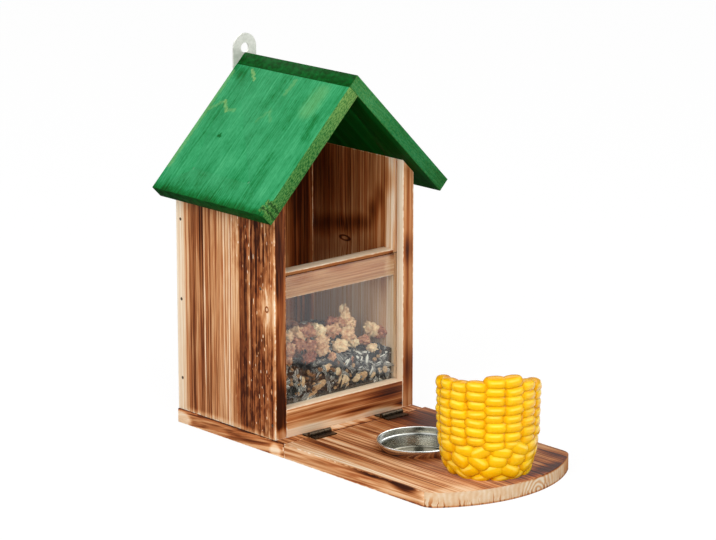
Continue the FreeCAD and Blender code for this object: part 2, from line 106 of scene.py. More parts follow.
class Recipe:
    """A material that is put together node by node. Lengths in it are millimetres."""

    def __init__(self, name, origin=(0, 0, 0), owner=None):
        self.material = owner or bpy.data.materials.new(name)
        self.material.use_nodes = True
        self.tree = self.material.node_tree
        self.tree.nodes.clear()
        self.coordinates = self.add("TexCoord").outputs
        away = tuple(-v for v in origin)
        self.place = self.vector("MULTIPLY_ADD", self.coordinates["Object"], (1 / MM,) * 3, away)
        self.x, self.y, self.z = self.parts(self.place)

    def add(self, kind, inputs=(), **settings):
        """One node. Inputs are values or other nodes' outputs, by order or by name."""
        node = self.tree.nodes.new("ShaderNode" + kind)
        for setting, value in settings.items():
            setattr(node, setting, value)
        pairs = inputs.items() if isinstance(inputs, dict) else enumerate(inputs)
        for key, value in pairs:
            if isinstance(value, bpy.types.NodeSocket):
                self.tree.links.new(value, node.inputs[key])
            else:
                node.inputs[key].default_value = value
        return node

    def maths(self, operation, *values):
        return self.add("Math", values, operation=operation).outputs[0]

    def times(self, first, second):
        return self.maths("MULTIPLY", first, second)

    def minus(self, first, second):
        return self.maths("SUBTRACT", first, second)

    def apart(self, first, second):
        """How far two numbers lie apart."""
        return self.maths("ABSOLUTE", self.minus(first, second))

    def vector(self, operation, *values):
        node = self.add("VectorMath", values, operation=operation)
        return node.outputs["Value" if operation in ("LENGTH", "DOT_PRODUCT") else "Vector"]

    def parts(self, vector):
        return self.add("SeparateXYZ", [vector]).outputs

    def joined(self, x, y, z):
        return self.add("CombineXYZ", [x, y, z]).outputs[0]

    def from_axis(self, first, second):
        """How far a point lies from an axis, when these are its two distances from it."""
        return self.vector("LENGTH", self.joined(first, second, 0.0))

    def total(self, *values):
        result = values[0]
        for value in values[1:]:
            result = self.maths("ADD", result, value)
        return result

    def swing(self, value, amount):
        """A pattern from 0 to 1 turned into one that adds or takes half this amount."""
        return self.maths("MULTIPLY_ADD", value, amount, -amount / 2)

    def swung(self, base, *patterns):
        """A plain value with (pattern, amount) pairs swung onto it."""
        return self.total(base, *[self.swing(pattern, amount) for pattern, amount in patterns])

    def ease(self, value, start, end, low=0.0, high=1.0):
        """Goes softly from low to high while the value goes from start to end."""
        return self.add("MapRange", [value, start, end, low, high],
                        interpolation_type="SMOOTHSTEP").outputs[0]

    def blend(self, share, first, second):
        """Goes from the first number to the second as the share goes from 0 to 1."""
        return self.add("Mix", {0: share, 2: first, 3: second}).outputs[0]

    def noise(self, size, detail=2.0, seed=0.0, where=None, roughness=0.5, output=0):
        """Cloudy noise with blobs of one size, or of three along X, Y and Z. Output 1 is a vector of it."""
        size = size if isinstance(size, tuple) else (size,) * 3
        grid = self.vector("MULTIPLY_ADD", where or self.place, tuple(1 / s for s in size), (seed,) * 3)
        return self.add("TexNoise", {"Vector": grid, "Scale": 1.0, "Detail": detail,
                                     "Roughness": roughness}).outputs[output]

    def lines(self, value, gap, seed=0.0, detail=1.0):
        """Uneven lines across the direction in which the value grows, about this far apart."""
        step = self.maths("MULTIPLY_ADD", value, 1 / gap, seed)
        uneven = self.add("TexNoise", {"W": step, "Scale": 1.0, "Detail": detail},
                          noise_dimensions="1D").outputs[0]
        return self.ease(uneven, 0.28, 0.72)

    def spot(self, centre, reach, soft=1.0):
        """1 at a centre, falling to 0 at the surface of an egg of these half sizes."""
        away = self.vector("MULTIPLY", self.vector("SUBTRACT", self.place, centre),
                           tuple(1 / r for r in reach))
        return self.ease(self.vector("LENGTH", away), 1.0, 1.0 - soft)

    def burned(self, pale, burns):
        """A pattern darkened by burns, each (centre, half sizes, strength)."""
        for centre, reach, strength in burns:
            pale = self.total(pale, self.times(self.spot(centre, reach), -strength))
        return pale

    def edge_gap(self, size):
        """How far a point of a block's surface lies from the block's nearest edge."""
        gaps = [self.maths("MINIMUM", side, self.minus(end, side))
                for side, end in zip((self.x, self.y, self.z), size)]
        least = self.maths("MINIMUM", gaps[0], gaps[1])
        most = self.maths("MAXIMUM", gaps[0], gaps[1])
        return self.maths("MAXIMUM", least, self.maths("MINIMUM", most, gaps[2]))

    def ramp(self, value, rows):
        """Colours along a scale from 0 to 1. Each row is a position, then red, green and blue."""
        node = self.add("ValToRGB", [value])
        marks = node.color_ramp.elements
        while len(marks) < len(rows):
            marks.new(1.0)
        for mark, (position, *colour) in zip(marks, rows):
            mark.position = position
            mark.color = paint(*colour)
        return node.outputs[0]

    def mix(self, share, first, second, mode="MIX"):
        return self.add("Mix", {0: share, 6: first, 7: second}, data_type="RGBA", blend_type=mode).outputs[2]

    def bumps(self, height, depth):
        """A surface normal from a height pattern; depth is how many mm its full swing stands for."""
        return self.add("Bump", {"Height": height, "Distance": depth * MM, "Strength": 1.0}).outputs[0]

    def finish(self, colour, roughness, normal, sheen=0.5, **more):
        """Wires the Principled shader and returns the material."""
        shader = self.add("BsdfPrincipled", {"Base Color": colour, "Roughness": roughness, "Normal": normal,
                                             "Specular IOR Level": sheen} | more)
        self.add("OutputMaterial", [shader.outputs[0]])
        return self.material


print("white as light is", [round(v, 3) for v in paint(255, 255, 255)])

# %% [markdown]
# The stage is a plain pale floor under soft light from a white studio. The lamps and the world add up
# to a plain level, at which a colour comes out about as it is written. The camera, mirrors and the
# window see a whiter floor than the lamps do: Light Path tells those rays from the others. What metal
# mirrors is arranged too, as a photographer does with screens: a sky that is dark low down and white
# above, brighter on the far side, and a dark screen behind the camera. For mirrors and the window, a
# painted shadow of the box darkens part of the floor.

# %% Floor, lamps and world
FLOOR_SIZE = 9000.0
FLOOR_DROP = 0.2
FLOOR_GREY = paint(238, 238, 238)
WHITE = (1.0, 1.0, 1.0, 1.0)
FLOOR_GLOW = 0.88
FLOOR_WHITE = 1.035
SHADE_COLOUR = paint(70, 64, 60)
SHADE_START = (94.0, -124.0)
SHADE_SLOPE = 0.44
SHADE_SOFTNESS = 9.0
WORLD_LEVEL = 0.66
SKY_BY_HEIGHT = [(0.0, 74, 74, 68), (0.36, 88, 88, 84), (0.54, 238, 238, 236), (0.9, 238, 238, 236),
                 (1.0, 170, 170, 168)]
NEAR_LEVEL = 1.4
FAR_LEVEL = 3.6
DARK_SCREEN = paint(92, 94, 90)
DARK_SCREEN_WIDTH = 17.0
LAMP_TARGET = Vector((0, 0, 100))
LAMPS = [("key_light", -75, 34, 1900, 900, 900, 12.5), ("fill_light", -25, 18, 2200, 1300, 1300, 14),
         ("long_light", -44, 54, 2200, 1500, 600, 12)]


def added(operator, name, **settings):
    """What an add operator makes, with its place applied to its mesh."""
    bpy.ops.object.select_all(action="DESELECT")
    operator(**settings)
    return settle(bpy.context.object, name)


def settle(piece, name):
    """Names a new piece and applies its place, turn and scale to its mesh."""
    alone(piece)
    bpy.ops.object.transform_apply(location=True, rotation=True, scale=True)
    piece.name = name
    piece.data.name = name
    return piece


def alone(piece):
    """Makes this the only selected object."""
    bpy.ops.object.select_all(action="DESELECT")
    piece.select_set(True)
    bpy.context.view_layer.objects.active = piece


def seen_by(recipe, *kinds):
    """1 for rays of these kinds, 0 for all others."""
    rays = recipe.add("LightPath").outputs
    seen = rays[f"Is {kinds[0]} Ray"]
    for kind in kinds[1:]:
        seen = recipe.maths("MAXIMUM", seen, rays[f"Is {kind} Ray"])
    return seen


def studio_floor():
    r = Recipe("studio_floor")
    matt = r.add("BsdfDiffuse", [FLOOR_GREY])
    # For mirror rays the floor is darkened on the box's side of a slanting line: a painted shadow of the box.
    shade_edge = r.maths("MULTIPLY_ADD", r.y, SHADE_SLOPE, SHADE_START[0] - SHADE_SLOPE * SHADE_START[1])
    lit = r.ease(r.minus(r.x, shade_edge), -SHADE_SOFTNESS, SHADE_SOFTNESS)
    shade = r.times(seen_by(r, "Glossy"), r.minus(1.0, lit))
    glow = r.add("Emission", [r.mix(shade, WHITE, SHADE_COLOUR), FLOOR_WHITE])
    share = r.times(seen_by(r, "Camera", "Glossy", "Transmission"), FLOOR_GLOW)
    both = r.add("MixShader", [share, matt.outputs[0], glow.outputs[0]])
    r.add("OutputMaterial", [both.outputs[0]])
    return r.material


def studio_sky(world):
    r = Recipe("studio_sky", owner=world)
    look = r.coordinates["Generated"]
    level_look = r.vector("NORMALIZE", r.vector("MULTIPLY", look, (1.0, 1.0, 0.0)))
    facing = r.vector("DOT_PRODUCT", level_look, towards_viewer(CAMERA_AZIMUTH, 0))
    in_screen = r.maths("GREATER_THAN", facing, math.cos(math.radians(DARK_SCREEN_WIDTH)))
    colour = r.mix(r.times(in_screen, seen_by(r, "Glossy")), WHITE, DARK_SCREEN)
    by_side = r.ease(facing, -0.3, 0.3, FAR_LEVEL, NEAR_LEVEL)
    mirrored = r.times(r.ramp(r.parts(look)[2], SKY_BY_HEIGHT), by_side)
    level = r.blend(seen_by(r, "Glossy"), WORLD_LEVEL, mirrored)
    level = r.blend(seen_by(r, "Camera", "Transmission"), level, 1.0)
    background = r.add("Background", [colour, level])
    r.add("OutputWorld", [background.outputs[0]])


floor = added(bpy.ops.mesh.primitive_plane_add, "floor", size=FLOOR_SIZE * MM,
              location=(0, 0, -FLOOR_DROP * MM))
floor.data.materials.append(studio_floor())
world = bpy.data.worlds.new("studio")
bpy.context.scene.world = world
studio_sky(world)
for name, azimuth, elevation, distance, width, height, power in LAMPS:
    light = bpy.data.lights.new(name, "AREA")
    light.shape = "RECTANGLE"
    light.size = width * MM
    light.size_y = height * MM
    light.energy = power
    soft_box = bpy.data.objects.new(name, light)
    bpy.context.collection.objects.link(soft_box)
    aim(soft_box, LAMP_TARGET + towards_viewer(azimuth, elevation) * distance, LAMP_TARGET)
    soft_box.visible_glossy = False

# %% [markdown]
# The planks are pine that was passed under a gas flame and sanded a little. The flame browns the soft
# wood first, so the board is striped along its grain, from char brown to cream, and the sanded
# edges are pale again. The rings of the tree are tubes around its heart. A board's pattern is
# therefore worked out from the distance to that heart: long lines on the faces, arcs on the end. Fine
# lines, golden lines and fibres are noise with sizes across the rings, along the grain and sideways.
# Streaks, burns, bare spots and knots are placed board by board, as on the real one.

# %% Torched pine
TOAST = [(0.0, 54, 22, 8), (0.12, 84, 38, 14), (0.24, 112, 56, 22), (0.38, 145, 84, 43), (0.52, 171, 109, 63),
         (0.66, 194, 137, 90), (0.78, 213, 164, 119), (0.9, 223, 192, 158), (1.0, 233, 215, 190)]
RED_CAST = paint(250, 229, 214)
GRAIN_LENGTH = 260.0
GRAIN_RELIEF = 0.14
BROAD_GAP = 9.0
MIDDLE_GAP = 3.0
FINE_SIZE = (1.4, 220, 3.4)
GOLDEN_SIZE = (1.4, 200, 4.0)
FIBRE_SIZE = (0.9, 26, 1.8)
SHEEN = 0.14
BARE_TONE = 0.95
KNOT_PUSH = 2.4
AXES = {"x": 0, "y": 1, "z": 2}


def stretched(along, across, length):
    """Blob sizes that are long along the grain."""
    return tuple(length if n == AXES[along] else across for n in range(3))


def corners(node):
    """A node's lowest and highest corner in mm."""
    return [Vector(corner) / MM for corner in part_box(node)]


def torched_pine(name, node, along, heart, tone=0.5, contrast=1.0, ring_gap=2.6, ring_depth=0.04,
                 streaks=(), streak_axis="y", burns=(), bare=(), knots=(), arris=0.9, flecks=(), slant=0.0,
                 seed=0.0):
    """Pine for one board, with its grain along an axis and the tree's heart on the other two axes.

    All places are measured from the board's lowest corner. Streaks are (place, half width, depth) on
    one axis; a negative depth makes them pale. Burns, bare spots and flecks are (centre, half sizes,
    strength). Knots are (centre, half width, half height). The arris is how far in the worn, paler
    edge reaches, and the slant tilts the fine lines against the rings.
    """
    low, high = corners(node)
    r = Recipe(name, low)
    sides = [r.x, r.y, r.z]
    streak_place = sides[AXES[streak_axis]]
    length = sides.pop(AXES[along])
    drift = r.swing(r.noise(stretched(along, 55, GRAIN_LENGTH), 2, seed), 4.0)
    sway = r.swing(r.noise(stretched(along, 7, 70), 1, seed + 5), 1.0)
    off = [r.minus(side, place) for side, place in zip(sides, heart)]
    rings = r.total(r.from_axis(*off), drift, sway)
    for centre, _, _ in knots:
        rings = r.total(rings, r.times(r.spot(centre, stretched(along, 10, 18)), KNOT_PUSH))
    broad = r.lines(rings, BROAD_GAP, seed + 1)
    middle = r.lines(rings, MIDDLE_GAP, seed + 2)
    flow = r.joined(rings, length, r.total(*off, r.times(length, slant)))
    fine = r.ease(r.noise(FINE_SIZE, 2, seed + 3, flow, 0.65), 0.38, 0.62)
    golden = r.ease(r.noise(GOLDEN_SIZE, 1, seed + 10, flow), 0.56, 0.64)
    wave = r.maths("SINE", r.times(rings, math.tau / ring_gap))
    fibre = r.ease(r.noise(FIBRE_SIZE, 2, seed + 4, flow), 0.3, 0.7)
    cloud = r.ease(r.noise(stretched(along, 9, 60), 4, seed + 6), 0.3, 0.7)
    pale = r.swung(tone, (broad, 0.12 * contrast), (middle, 0.20 * contrast), (fine, 0.42 * contrast),
                   (fibre, 0.26 * contrast), (cloud, 0.16 * contrast))
    pale = r.total(pale, r.times(wave, ring_depth), r.times(golden, 0.26 * contrast))
    pale = r.ease(pale, -0.15, 1.15, 0.12, 0.80)
    streak_place = r.total(streak_place, sway, r.times(drift, 0.25))
    for place, width, depth in streaks:
        pale = r.total(pale, r.ease(r.apart(streak_place, place), width * 1.6, width * 0.3, 0.0, -depth))
    pale = r.burned(pale, burns)
    fresh = r.swung(BARE_TONE, (fine, 0.06), (middle, 0.05), (fibre, 0.06))
    for centre, reach, strength in bare:
        pale = r.blend(r.times(r.spot(centre, reach, 0.5), strength), pale, fresh)
    for centre, wide, tall in knots:
        inward = r.spot(centre, stretched(along, wide, tall))
        pale = r.total(pale, r.ease(inward, 0.0, 0.3, 0.0, -0.6), r.ease(inward, 0.4, 0.8, 0.0, 0.6))
    edge = r.total(r.edge_gap(high - low), r.swing(r.noise(4, 2, seed + 7), 2.4))
    pale = r.total(pale, r.ease(edge, arris, 0.0, 0.0, 0.34))
    for centre, reach, strength in flecks:
        there = r.times(r.spot(centre, reach, 0.7), strength)
        dots = r.ease(r.noise(stretched(along, 1.6, 6.0), 1, seed + 8), 0.67, 0.74)
        mottle = r.ease(r.noise(stretched(along, 3.0, 8.0), 3, seed + 9), 0.42, 0.62, 0.0, -0.34)
        pale = r.total(pale, r.times(r.total(dots, mottle), there))
    warmth = r.ease(r.noise(stretched(along, 5, 60), 2, seed + 11), 0.42, 0.62)
    warmth = r.times(warmth, r.ease(pale, 0.8, 0.5))
    colour = r.mix(warmth, r.ramp(pale, TOAST), RED_CAST, "MULTIPLY")
    height = r.total(r.times(fine, 0.5), r.times(fibre, 0.5))
    return r.finish(colour, r.ease(pale, 0.1, 0.9, 0.5, 0.65), r.bumps(height, GRAIN_RELIEF), SHEEN)


print("toast has", len(TOAST), "steps")

# %% [markdown]
# Most planks are plain blocks. Each one starts as a cube at its true size. Its edges are then bevelled,
# because a sanded board has no sharp edge and a fine highlight runs along it. The object's place is
# applied to its mesh, so that the finish reads the same coordinates as the frame.

# %% Modelling helpers
ARRIS = 0.5
MERGE_GAP = 0.005
FLAT_ANGLE = 0.5


def block(name, low, high):
    """A cube between two corners in mm."""
    low, high = Vector(low), Vector(high)
    return added(bpy.ops.mesh.primitive_cube_add, name, size=1, location=(low + high) / 2 * MM,
                 scale=(high - low) * MM)


def everything(piece):
    """Opens a piece in edit mode with all of it selected."""
    alone(piece)
    bpy.ops.object.mode_set(mode="EDIT")
    bpy.ops.mesh.select_all(action="SELECT")


def close():
    """Leaves edit mode."""
    bpy.ops.object.mode_set(mode="OBJECT")


def traced(name, node):
    """A copy of a CAD node's mesh, with its points merged and its flat faces made whole."""
    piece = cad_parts[node].copy()
    piece.data = piece.data.copy()
    piece.parent = None
    for key in list(piece.keys()):
        del piece[key]
    bpy.context.collection.objects.link(piece)
    settle(piece, name)
    everything(piece)
    bpy.ops.mesh.remove_doubles(threshold=MERGE_GAP * MM)
    bpy.ops.mesh.dissolve_limited(angle_limit=math.radians(FLAT_ANGLE))
    close()
    return piece


def pick_faces(piece, test):
    """Opens a piece in edit mode with only those faces selected that pass a test."""
    alone(piece)
    bpy.context.tool_settings.mesh_select_mode = (False, False, True)
    for part in (piece.data.vertices, piece.data.edges):
        part.foreach_set("select", [False] * len(part))
    piece.data.polygons.foreach_set("select", [test(face) for face in piece.data.polygons])
    bpy.ops.object.mode_set(mode="EDIT")


def cut_plane(piece, point, normal, drop=False):
    """Cuts a piece along a plane. With drop, what lies on the normal's side is taken away."""
    everything(piece)
    bpy.ops.mesh.bisect(plane_co=Vector(point) * MM, plane_no=normal, clear_outer=drop, use_fill=drop)
    close()


def resized(piece, factors, centre):
    """Scales the mesh of a piece about a place in mm."""
    everything(piece)
    bpy.ops.transform.resize(value=factors, center_override=[v * MM for v in centre])
    close()


def modify(piece, kind, **settings):
    """Adds a modifier and applies it."""
    alone(piece)
    modifier = piece.modifiers.new(kind.lower(), kind)
    for setting, value in settings.items():
        setattr(modifier, setting, value)
    bpy.ops.object.modifier_apply(modifier=modifier.name)


def smooth(piece, angle):
    alone(piece)
    bpy.ops.object.shade_smooth_by_angle(angle=math.radians(angle))


def round_edges(piece, width=ARRIS, segments=2, angle=30):
    """Bevels every edge that is sharper than an angle, and shades the rest smooth."""
    modify(piece, "BEVEL", width=width * MM, segments=segments, limit_method="ANGLE",
           angle_limit=math.radians(angle), miter_outer="MITER_ARC")
    smooth(piece, angle)


def merged(pieces, name):
    """Joins pieces into one."""
    bpy.ops.object.select_all(action="DESELECT")
    for piece in pieces:
        piece.select_set(True)
    bpy.context.view_layer.objects.active = pieces[0]
    bpy.ops.object.join()
    return settle(pieces[0], name)


def dress(piece, material, body, slot, *nodes):
    """Gives a piece its material and its body, and hides the nodes that it stands for. The slot is not used.
    """
    piece.data.materials.clear()
    piece.data.materials.append(material)
    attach(piece, body)
    if nodes:
        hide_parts(*nodes)
    print(piece.name, "has", len(piece.data.polygons), "faces")
    return piece


def repaint(material, *nodes):
    """Gives CAD nodes that keep their mesh a better material."""
    for node in nodes:
        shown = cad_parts[node]
        shown.data.materials.clear()
        shown.data.materials.append(material)


def plank(node, pine, piece=None, width=ARRIS, segments=2, body="feeder_box", **look):
    """A board, plain unless a piece is given, with eased edges and a torched finish of its own."""
    piece = piece or block(node + "_board", *corners(node))
    round_edges(piece, width, segments)
    return dress(piece, torched_pine(pine, node, **look), body, "charred_pine", node)


print("planks get", ARRIS, "mm edges")

# %% [markdown]
# The two side panels are the tall planks of the house. On the real box each one is bevelled on top,
# where the roof lies on it, and has a groove near its front edge that the window slides in. A cube is
# cut along the roof's slope, the groove's strip is cut free with two more planes and pushed in.

# %% The side panels
PANE_SLACK = 0.5
GROOVE_DEPTH = 3.0
side_low, side_high = corners("left_side_panel")
pane_low, pane_high = corners("window_pane")
BOARD = side_high.x - side_low.x
HALF_WIDTH = -side_low.x
EAVE_Z = side_high.z - BOARD
groove = (pane_low.y - PANE_SLACK, pane_high.y + PANE_SLACK)


def side_board(node, side):
    """One side panel: side -1 is the left one, 1 the right one."""
    piece = block(node + "_board", *corners(node))
    cut_plane(piece, (side * HALF_WIDTH, 0, EAVE_Z), (side, 0, 1), drop=True)
    for edge in groove:
        cut_plane(piece, (0, edge, 0), (0, 1, 0))
    pick_faces(piece, lambda face: groove[0] < face.center.y / MM < groove[1] and face.normal.x * -side > 0.9)
    bpy.ops.mesh.extrude_region_move(TRANSFORM_OT_translate={"value": (side * GROOVE_DEPTH * MM, 0, 0)})
    close()
    return piece


left_side = side_board("left_side_panel", -1)
right_side = side_board("right_side_panel", 1)
print("the groove runs from", [round(v, 1) for v in groove], "mm")

# %% [markdown]
# The left panel was torched hardest along its front edge, and its rear strip was hardly touched. Small
# pale flecks lie among the char, and a knot sits at the front. The right panel is seen from inside,
# where it is darker towards the top and the back, in an arch above a paler lower part. The right panel is
# seen from inside,
# where the flame left an arch of scorch marks above a bare lower part.

# %% The finish of the side panels
plank(
    "left_side_panel", "left_side_pine", left_side, along="z", heart=(20, -90), tone=0.52, ring_gap=2.1,
    contrast=1.1,
    streaks=[(86.0, 1.2, 0.14), (77.0, 1.6, 0.22), (73.8, 0.8, -0.26), (64.6, 0.8, -0.24),
             (59.8, 0.7, -0.16), (48.5, 6.0, -0.20), (38.6, 1.4, -0.16), (31.6, 5.2, 0.26),
             (26.2, 0.9, -0.24), (21.0, 4.0, 0.16)],
    burns=[((5, 0, 130), (9, 4, 70), 0.55), ((5, 0, 20), (8, 4, 34), 0.52), ((5, 0, 80), (9, 4, 40), 0.14),
           ((0, 78, 150), (3, 9, 60), 0.16), ((0, 40, 30), (3, 9, 60), 0.20),
           ((0, 12, 40), (3, 16, 50), 0.12), ((0, 14, 140), (3, 16, 44), 0.12),
           ((0, 52, -0.5), (4, 110, 1.3), 1.2)],
    bare=[((0, 107.6, 85), (8, 18.4, 400), 1.0), ((0, 53, -2), (8, 90, 7), 0.6),
          ((0, 7.0, 91), (6, 13, 20), 0.55), ((5, 0, -2), (9, 6, 12), 0.7),
          ((0, 0.5, 70), (1.6, 2.2, 150), 0.6)],
    knots=[((0, 8.2, 89.8), 2.4, 3.0)],
    flecks=[((0, 18, 140), (4, 34, 80), 0.75), ((0, 14, 30), (4, 36, 70), 0.75)], seed=3.0)
plank(
    "right_side_panel", "right_side_pine", right_side, along="z", heart=(-25, -70), tone=0.58, ring_gap=2.4,
    contrast=0.66,
    streaks=[(18.6, 0.8, 0.20), (11.6, 6.0, -0.34), (3.0, 3.0, -0.30)],
    burns=[((0, 92, 158), (6, 66, 56), 0.36), ((0, 90, 116), (6, 30, 12), 0.34),
           ((0, 62, 121), (6, 28, 10), 0.34), ((0, 43, 126), (6, 20, 9), 0.30),
           ((0, 31, 136), (6, 9, 13), 0.30), ((0, 24, 147), (6, 7, 14), 0.26),
           ((0, 14, 160), (6, 7, 16), 0.22), ((5, 0, 113), (9, 4, 16), 0.34),
           ((5, 0, 28), (9, 4, 24), 0.34), ((5, 0, 80), (9, 4, 300), 0.22)],
    bare=[((5, 0, 182), (9, 4, 14), 0.6), ((-0.6, 2.4, 90), (1.5, 7.0, 400), 1.0),
          ((0, 54, 46), (3, 76, 66), 0.7)],
    knots=[((0, 60, 111.0), 8.0, 2.8)], seed=11.0)

# %% [markdown]
# The base board and the back panel close the box. They could be left as the frame has them, but an
# eased edge and grain in the right direction show on every side, so they get a finish too. The seams
# of the base board are darkened: painted shade. The back panel's top is a gable, so it is traced from
# the frame.

# %% Base board and back panel
# Painted shade: the base board is darkened along its left top edge and over its front face, in the seams.
PAINTED_SEAM_SHADE = [((0, 56, 10.6), (3, 120, 1.5), 1.2), ((64, -0.3, 5), (80, 1.5, 12), 1.2)]
plank(
    "base_board", "base_pine", along="y", heart=(70, -12), tone=0.64, contrast=1.2, slant=0.12,
    streak_axis="z", streaks=[(9.0, 1.0, 0.22)],
    burns=[((0, 40, 6), (4, 34, 5), 0.20), *PAINTED_SEAM_SHADE],
    bare=[((0, 108, 3.5), (5, 13, 6.4), 0.9), ((0, 70, 3), (4, 16, 4), 0.3), ((0, 8.5, 3), (5, 7.5, 7), 0.8),
          ((56, 7, 10), (36, 6, 2), 0.7)], arris=0.3, seed=21.0)
plank(
    "back_panel", "back_pine", traced("back_panel_board", "back_panel"), along="z", heart=(50, 60), tone=0.42,
    ring_gap=3.0, ring_depth=0.06, contrast=0.7, streak_axis="x",
    streaks=[(75.0, 1.6, -0.30), (79.0, 1.6, 0.10), (83.0, 1.6, -0.16), (96.0, 8.0, 0.26)],
    burns=[((92, 0, 160), (22, 5, 60), 0.30)], seed=31.0)

# %% [markdown]
# Two rails tie the side panels in front. The window stands on the lower one and leans on the upper
# one. Their grain runs across the box. Both were torched on the front only, so their tops are pale,
# and the lower one has a pale wedge that the flame left out.

# %% The front rails
SLIGHT_ARRIS = 0.4
plank(
    "lower_front_rail", "lower_rail_pine", width=SLIGHT_ARRIS, along="x", heart=(-14, -30), tone=0.54,
    ring_gap=1.7, ring_depth=0.03, contrast=0.66, streak_axis="z",
    burns=[((94, 0, 14), (34, 4, 9), 0.44), ((68, 0, 7.0), (26, 4, 2.2), 0.30),
           ((106, 0, 2), (12, 4, 6), 0.45), ((40, 0, 13), (20, 4, 3), 0.16)],
    bare=[((8, 0, 19), (60, 3, 3), 0.35), ((53, 7, 20.4), (400, 14, 1.4), 1.0),
          ((14, 0, -1), (66, 4, 11), 1.0), ((78, 0, -2), (34, 4, 9), 1.0), ((46, 0, -1), (130, 4, 5), 1.0)],
    arris=0.4, seed=41.0)
plank(
    "upper_front_rail", "upper_rail_pine", width=SLIGHT_ARRIS, along="x", heart=(-18, -26), tone=0.80,
    ring_gap=1.8, ring_depth=0.03, contrast=0.45, streak_axis="z", streaks=[(16.2, 1.8, 0.28)],
    burns=[((104, 0, 14), (5, 5, 5), 0.35), ((22, 0, 12), (18, 4, 5), 0.16), ((56, 0, 13), (16, 4, 4), 0.14)],
    bare=[((53, 7, 18.4), (400, 14, 1.4), 1.0), ((102, 0, 7), (7, 4, 9), 0.4)], arris=0.4, seed=47.0)

# %% [markdown]
# The roof is two boards of the same pine under a green stain. Stain sinks into the end grain at the
# ridge and the eaves, which come out darker, and the sawn side edges keep a yellow cast. The
# undersides are made nearly black green, which is painted shade. The boards slope, so the recipe
# turns the coordinates first: one along the slope, one along the ridge and one through the board. At
# the lower front corner of the left board the stain is worn down to the wood. Only colour is missing
# there, so the wear is painted and not cut; a dark line along it is painted shade.

# %% Green stain
LEAF = [(0.0, 0, 54, 6), (0.15, 2, 82, 26), (0.3, 16, 108, 52), (0.45, 38, 130, 78), (0.6, 54, 146, 94),
        (0.8, 72, 160, 108), (1.0, 108, 180, 128)]
OLIVE = [(0.0, 14, 66, 20), (0.3, 52, 104, 44), (0.6, 96, 140, 70), (1.0, 150, 180, 96)]
LIME = paint(160, 192, 112)
CHIP_SHADE_COLOUR = paint(10, 40, 14)
SIDE_EDGE = paint(20, 80, 36)
ROOF_SLOPE = math.radians(45)
STAIN_TONE = 0.51


def stroke(r, where, start, end, width):
    """A soft straight mark on a face between two places, each (along, across)."""
    run = Vector((end[0] - start[0], end[1] - start[1], 0.0))
    away = r.vector("SUBTRACT", where, (*start, 0.0))
    share = r.times(r.vector("DOT_PRODUCT", away, run), 1 / run.length_squared)
    share = r.add("Clamp", [share]).outputs[0]
    nearest = r.vector("MULTIPLY", r.joined(share, share, share), run)
    gap = r.vector("MULTIPLY", r.vector("SUBTRACT", away, nearest), (1.0, 1.0, 0.0))
    return r.ease(r.vector("LENGTH", gap), width, width * 0.2)


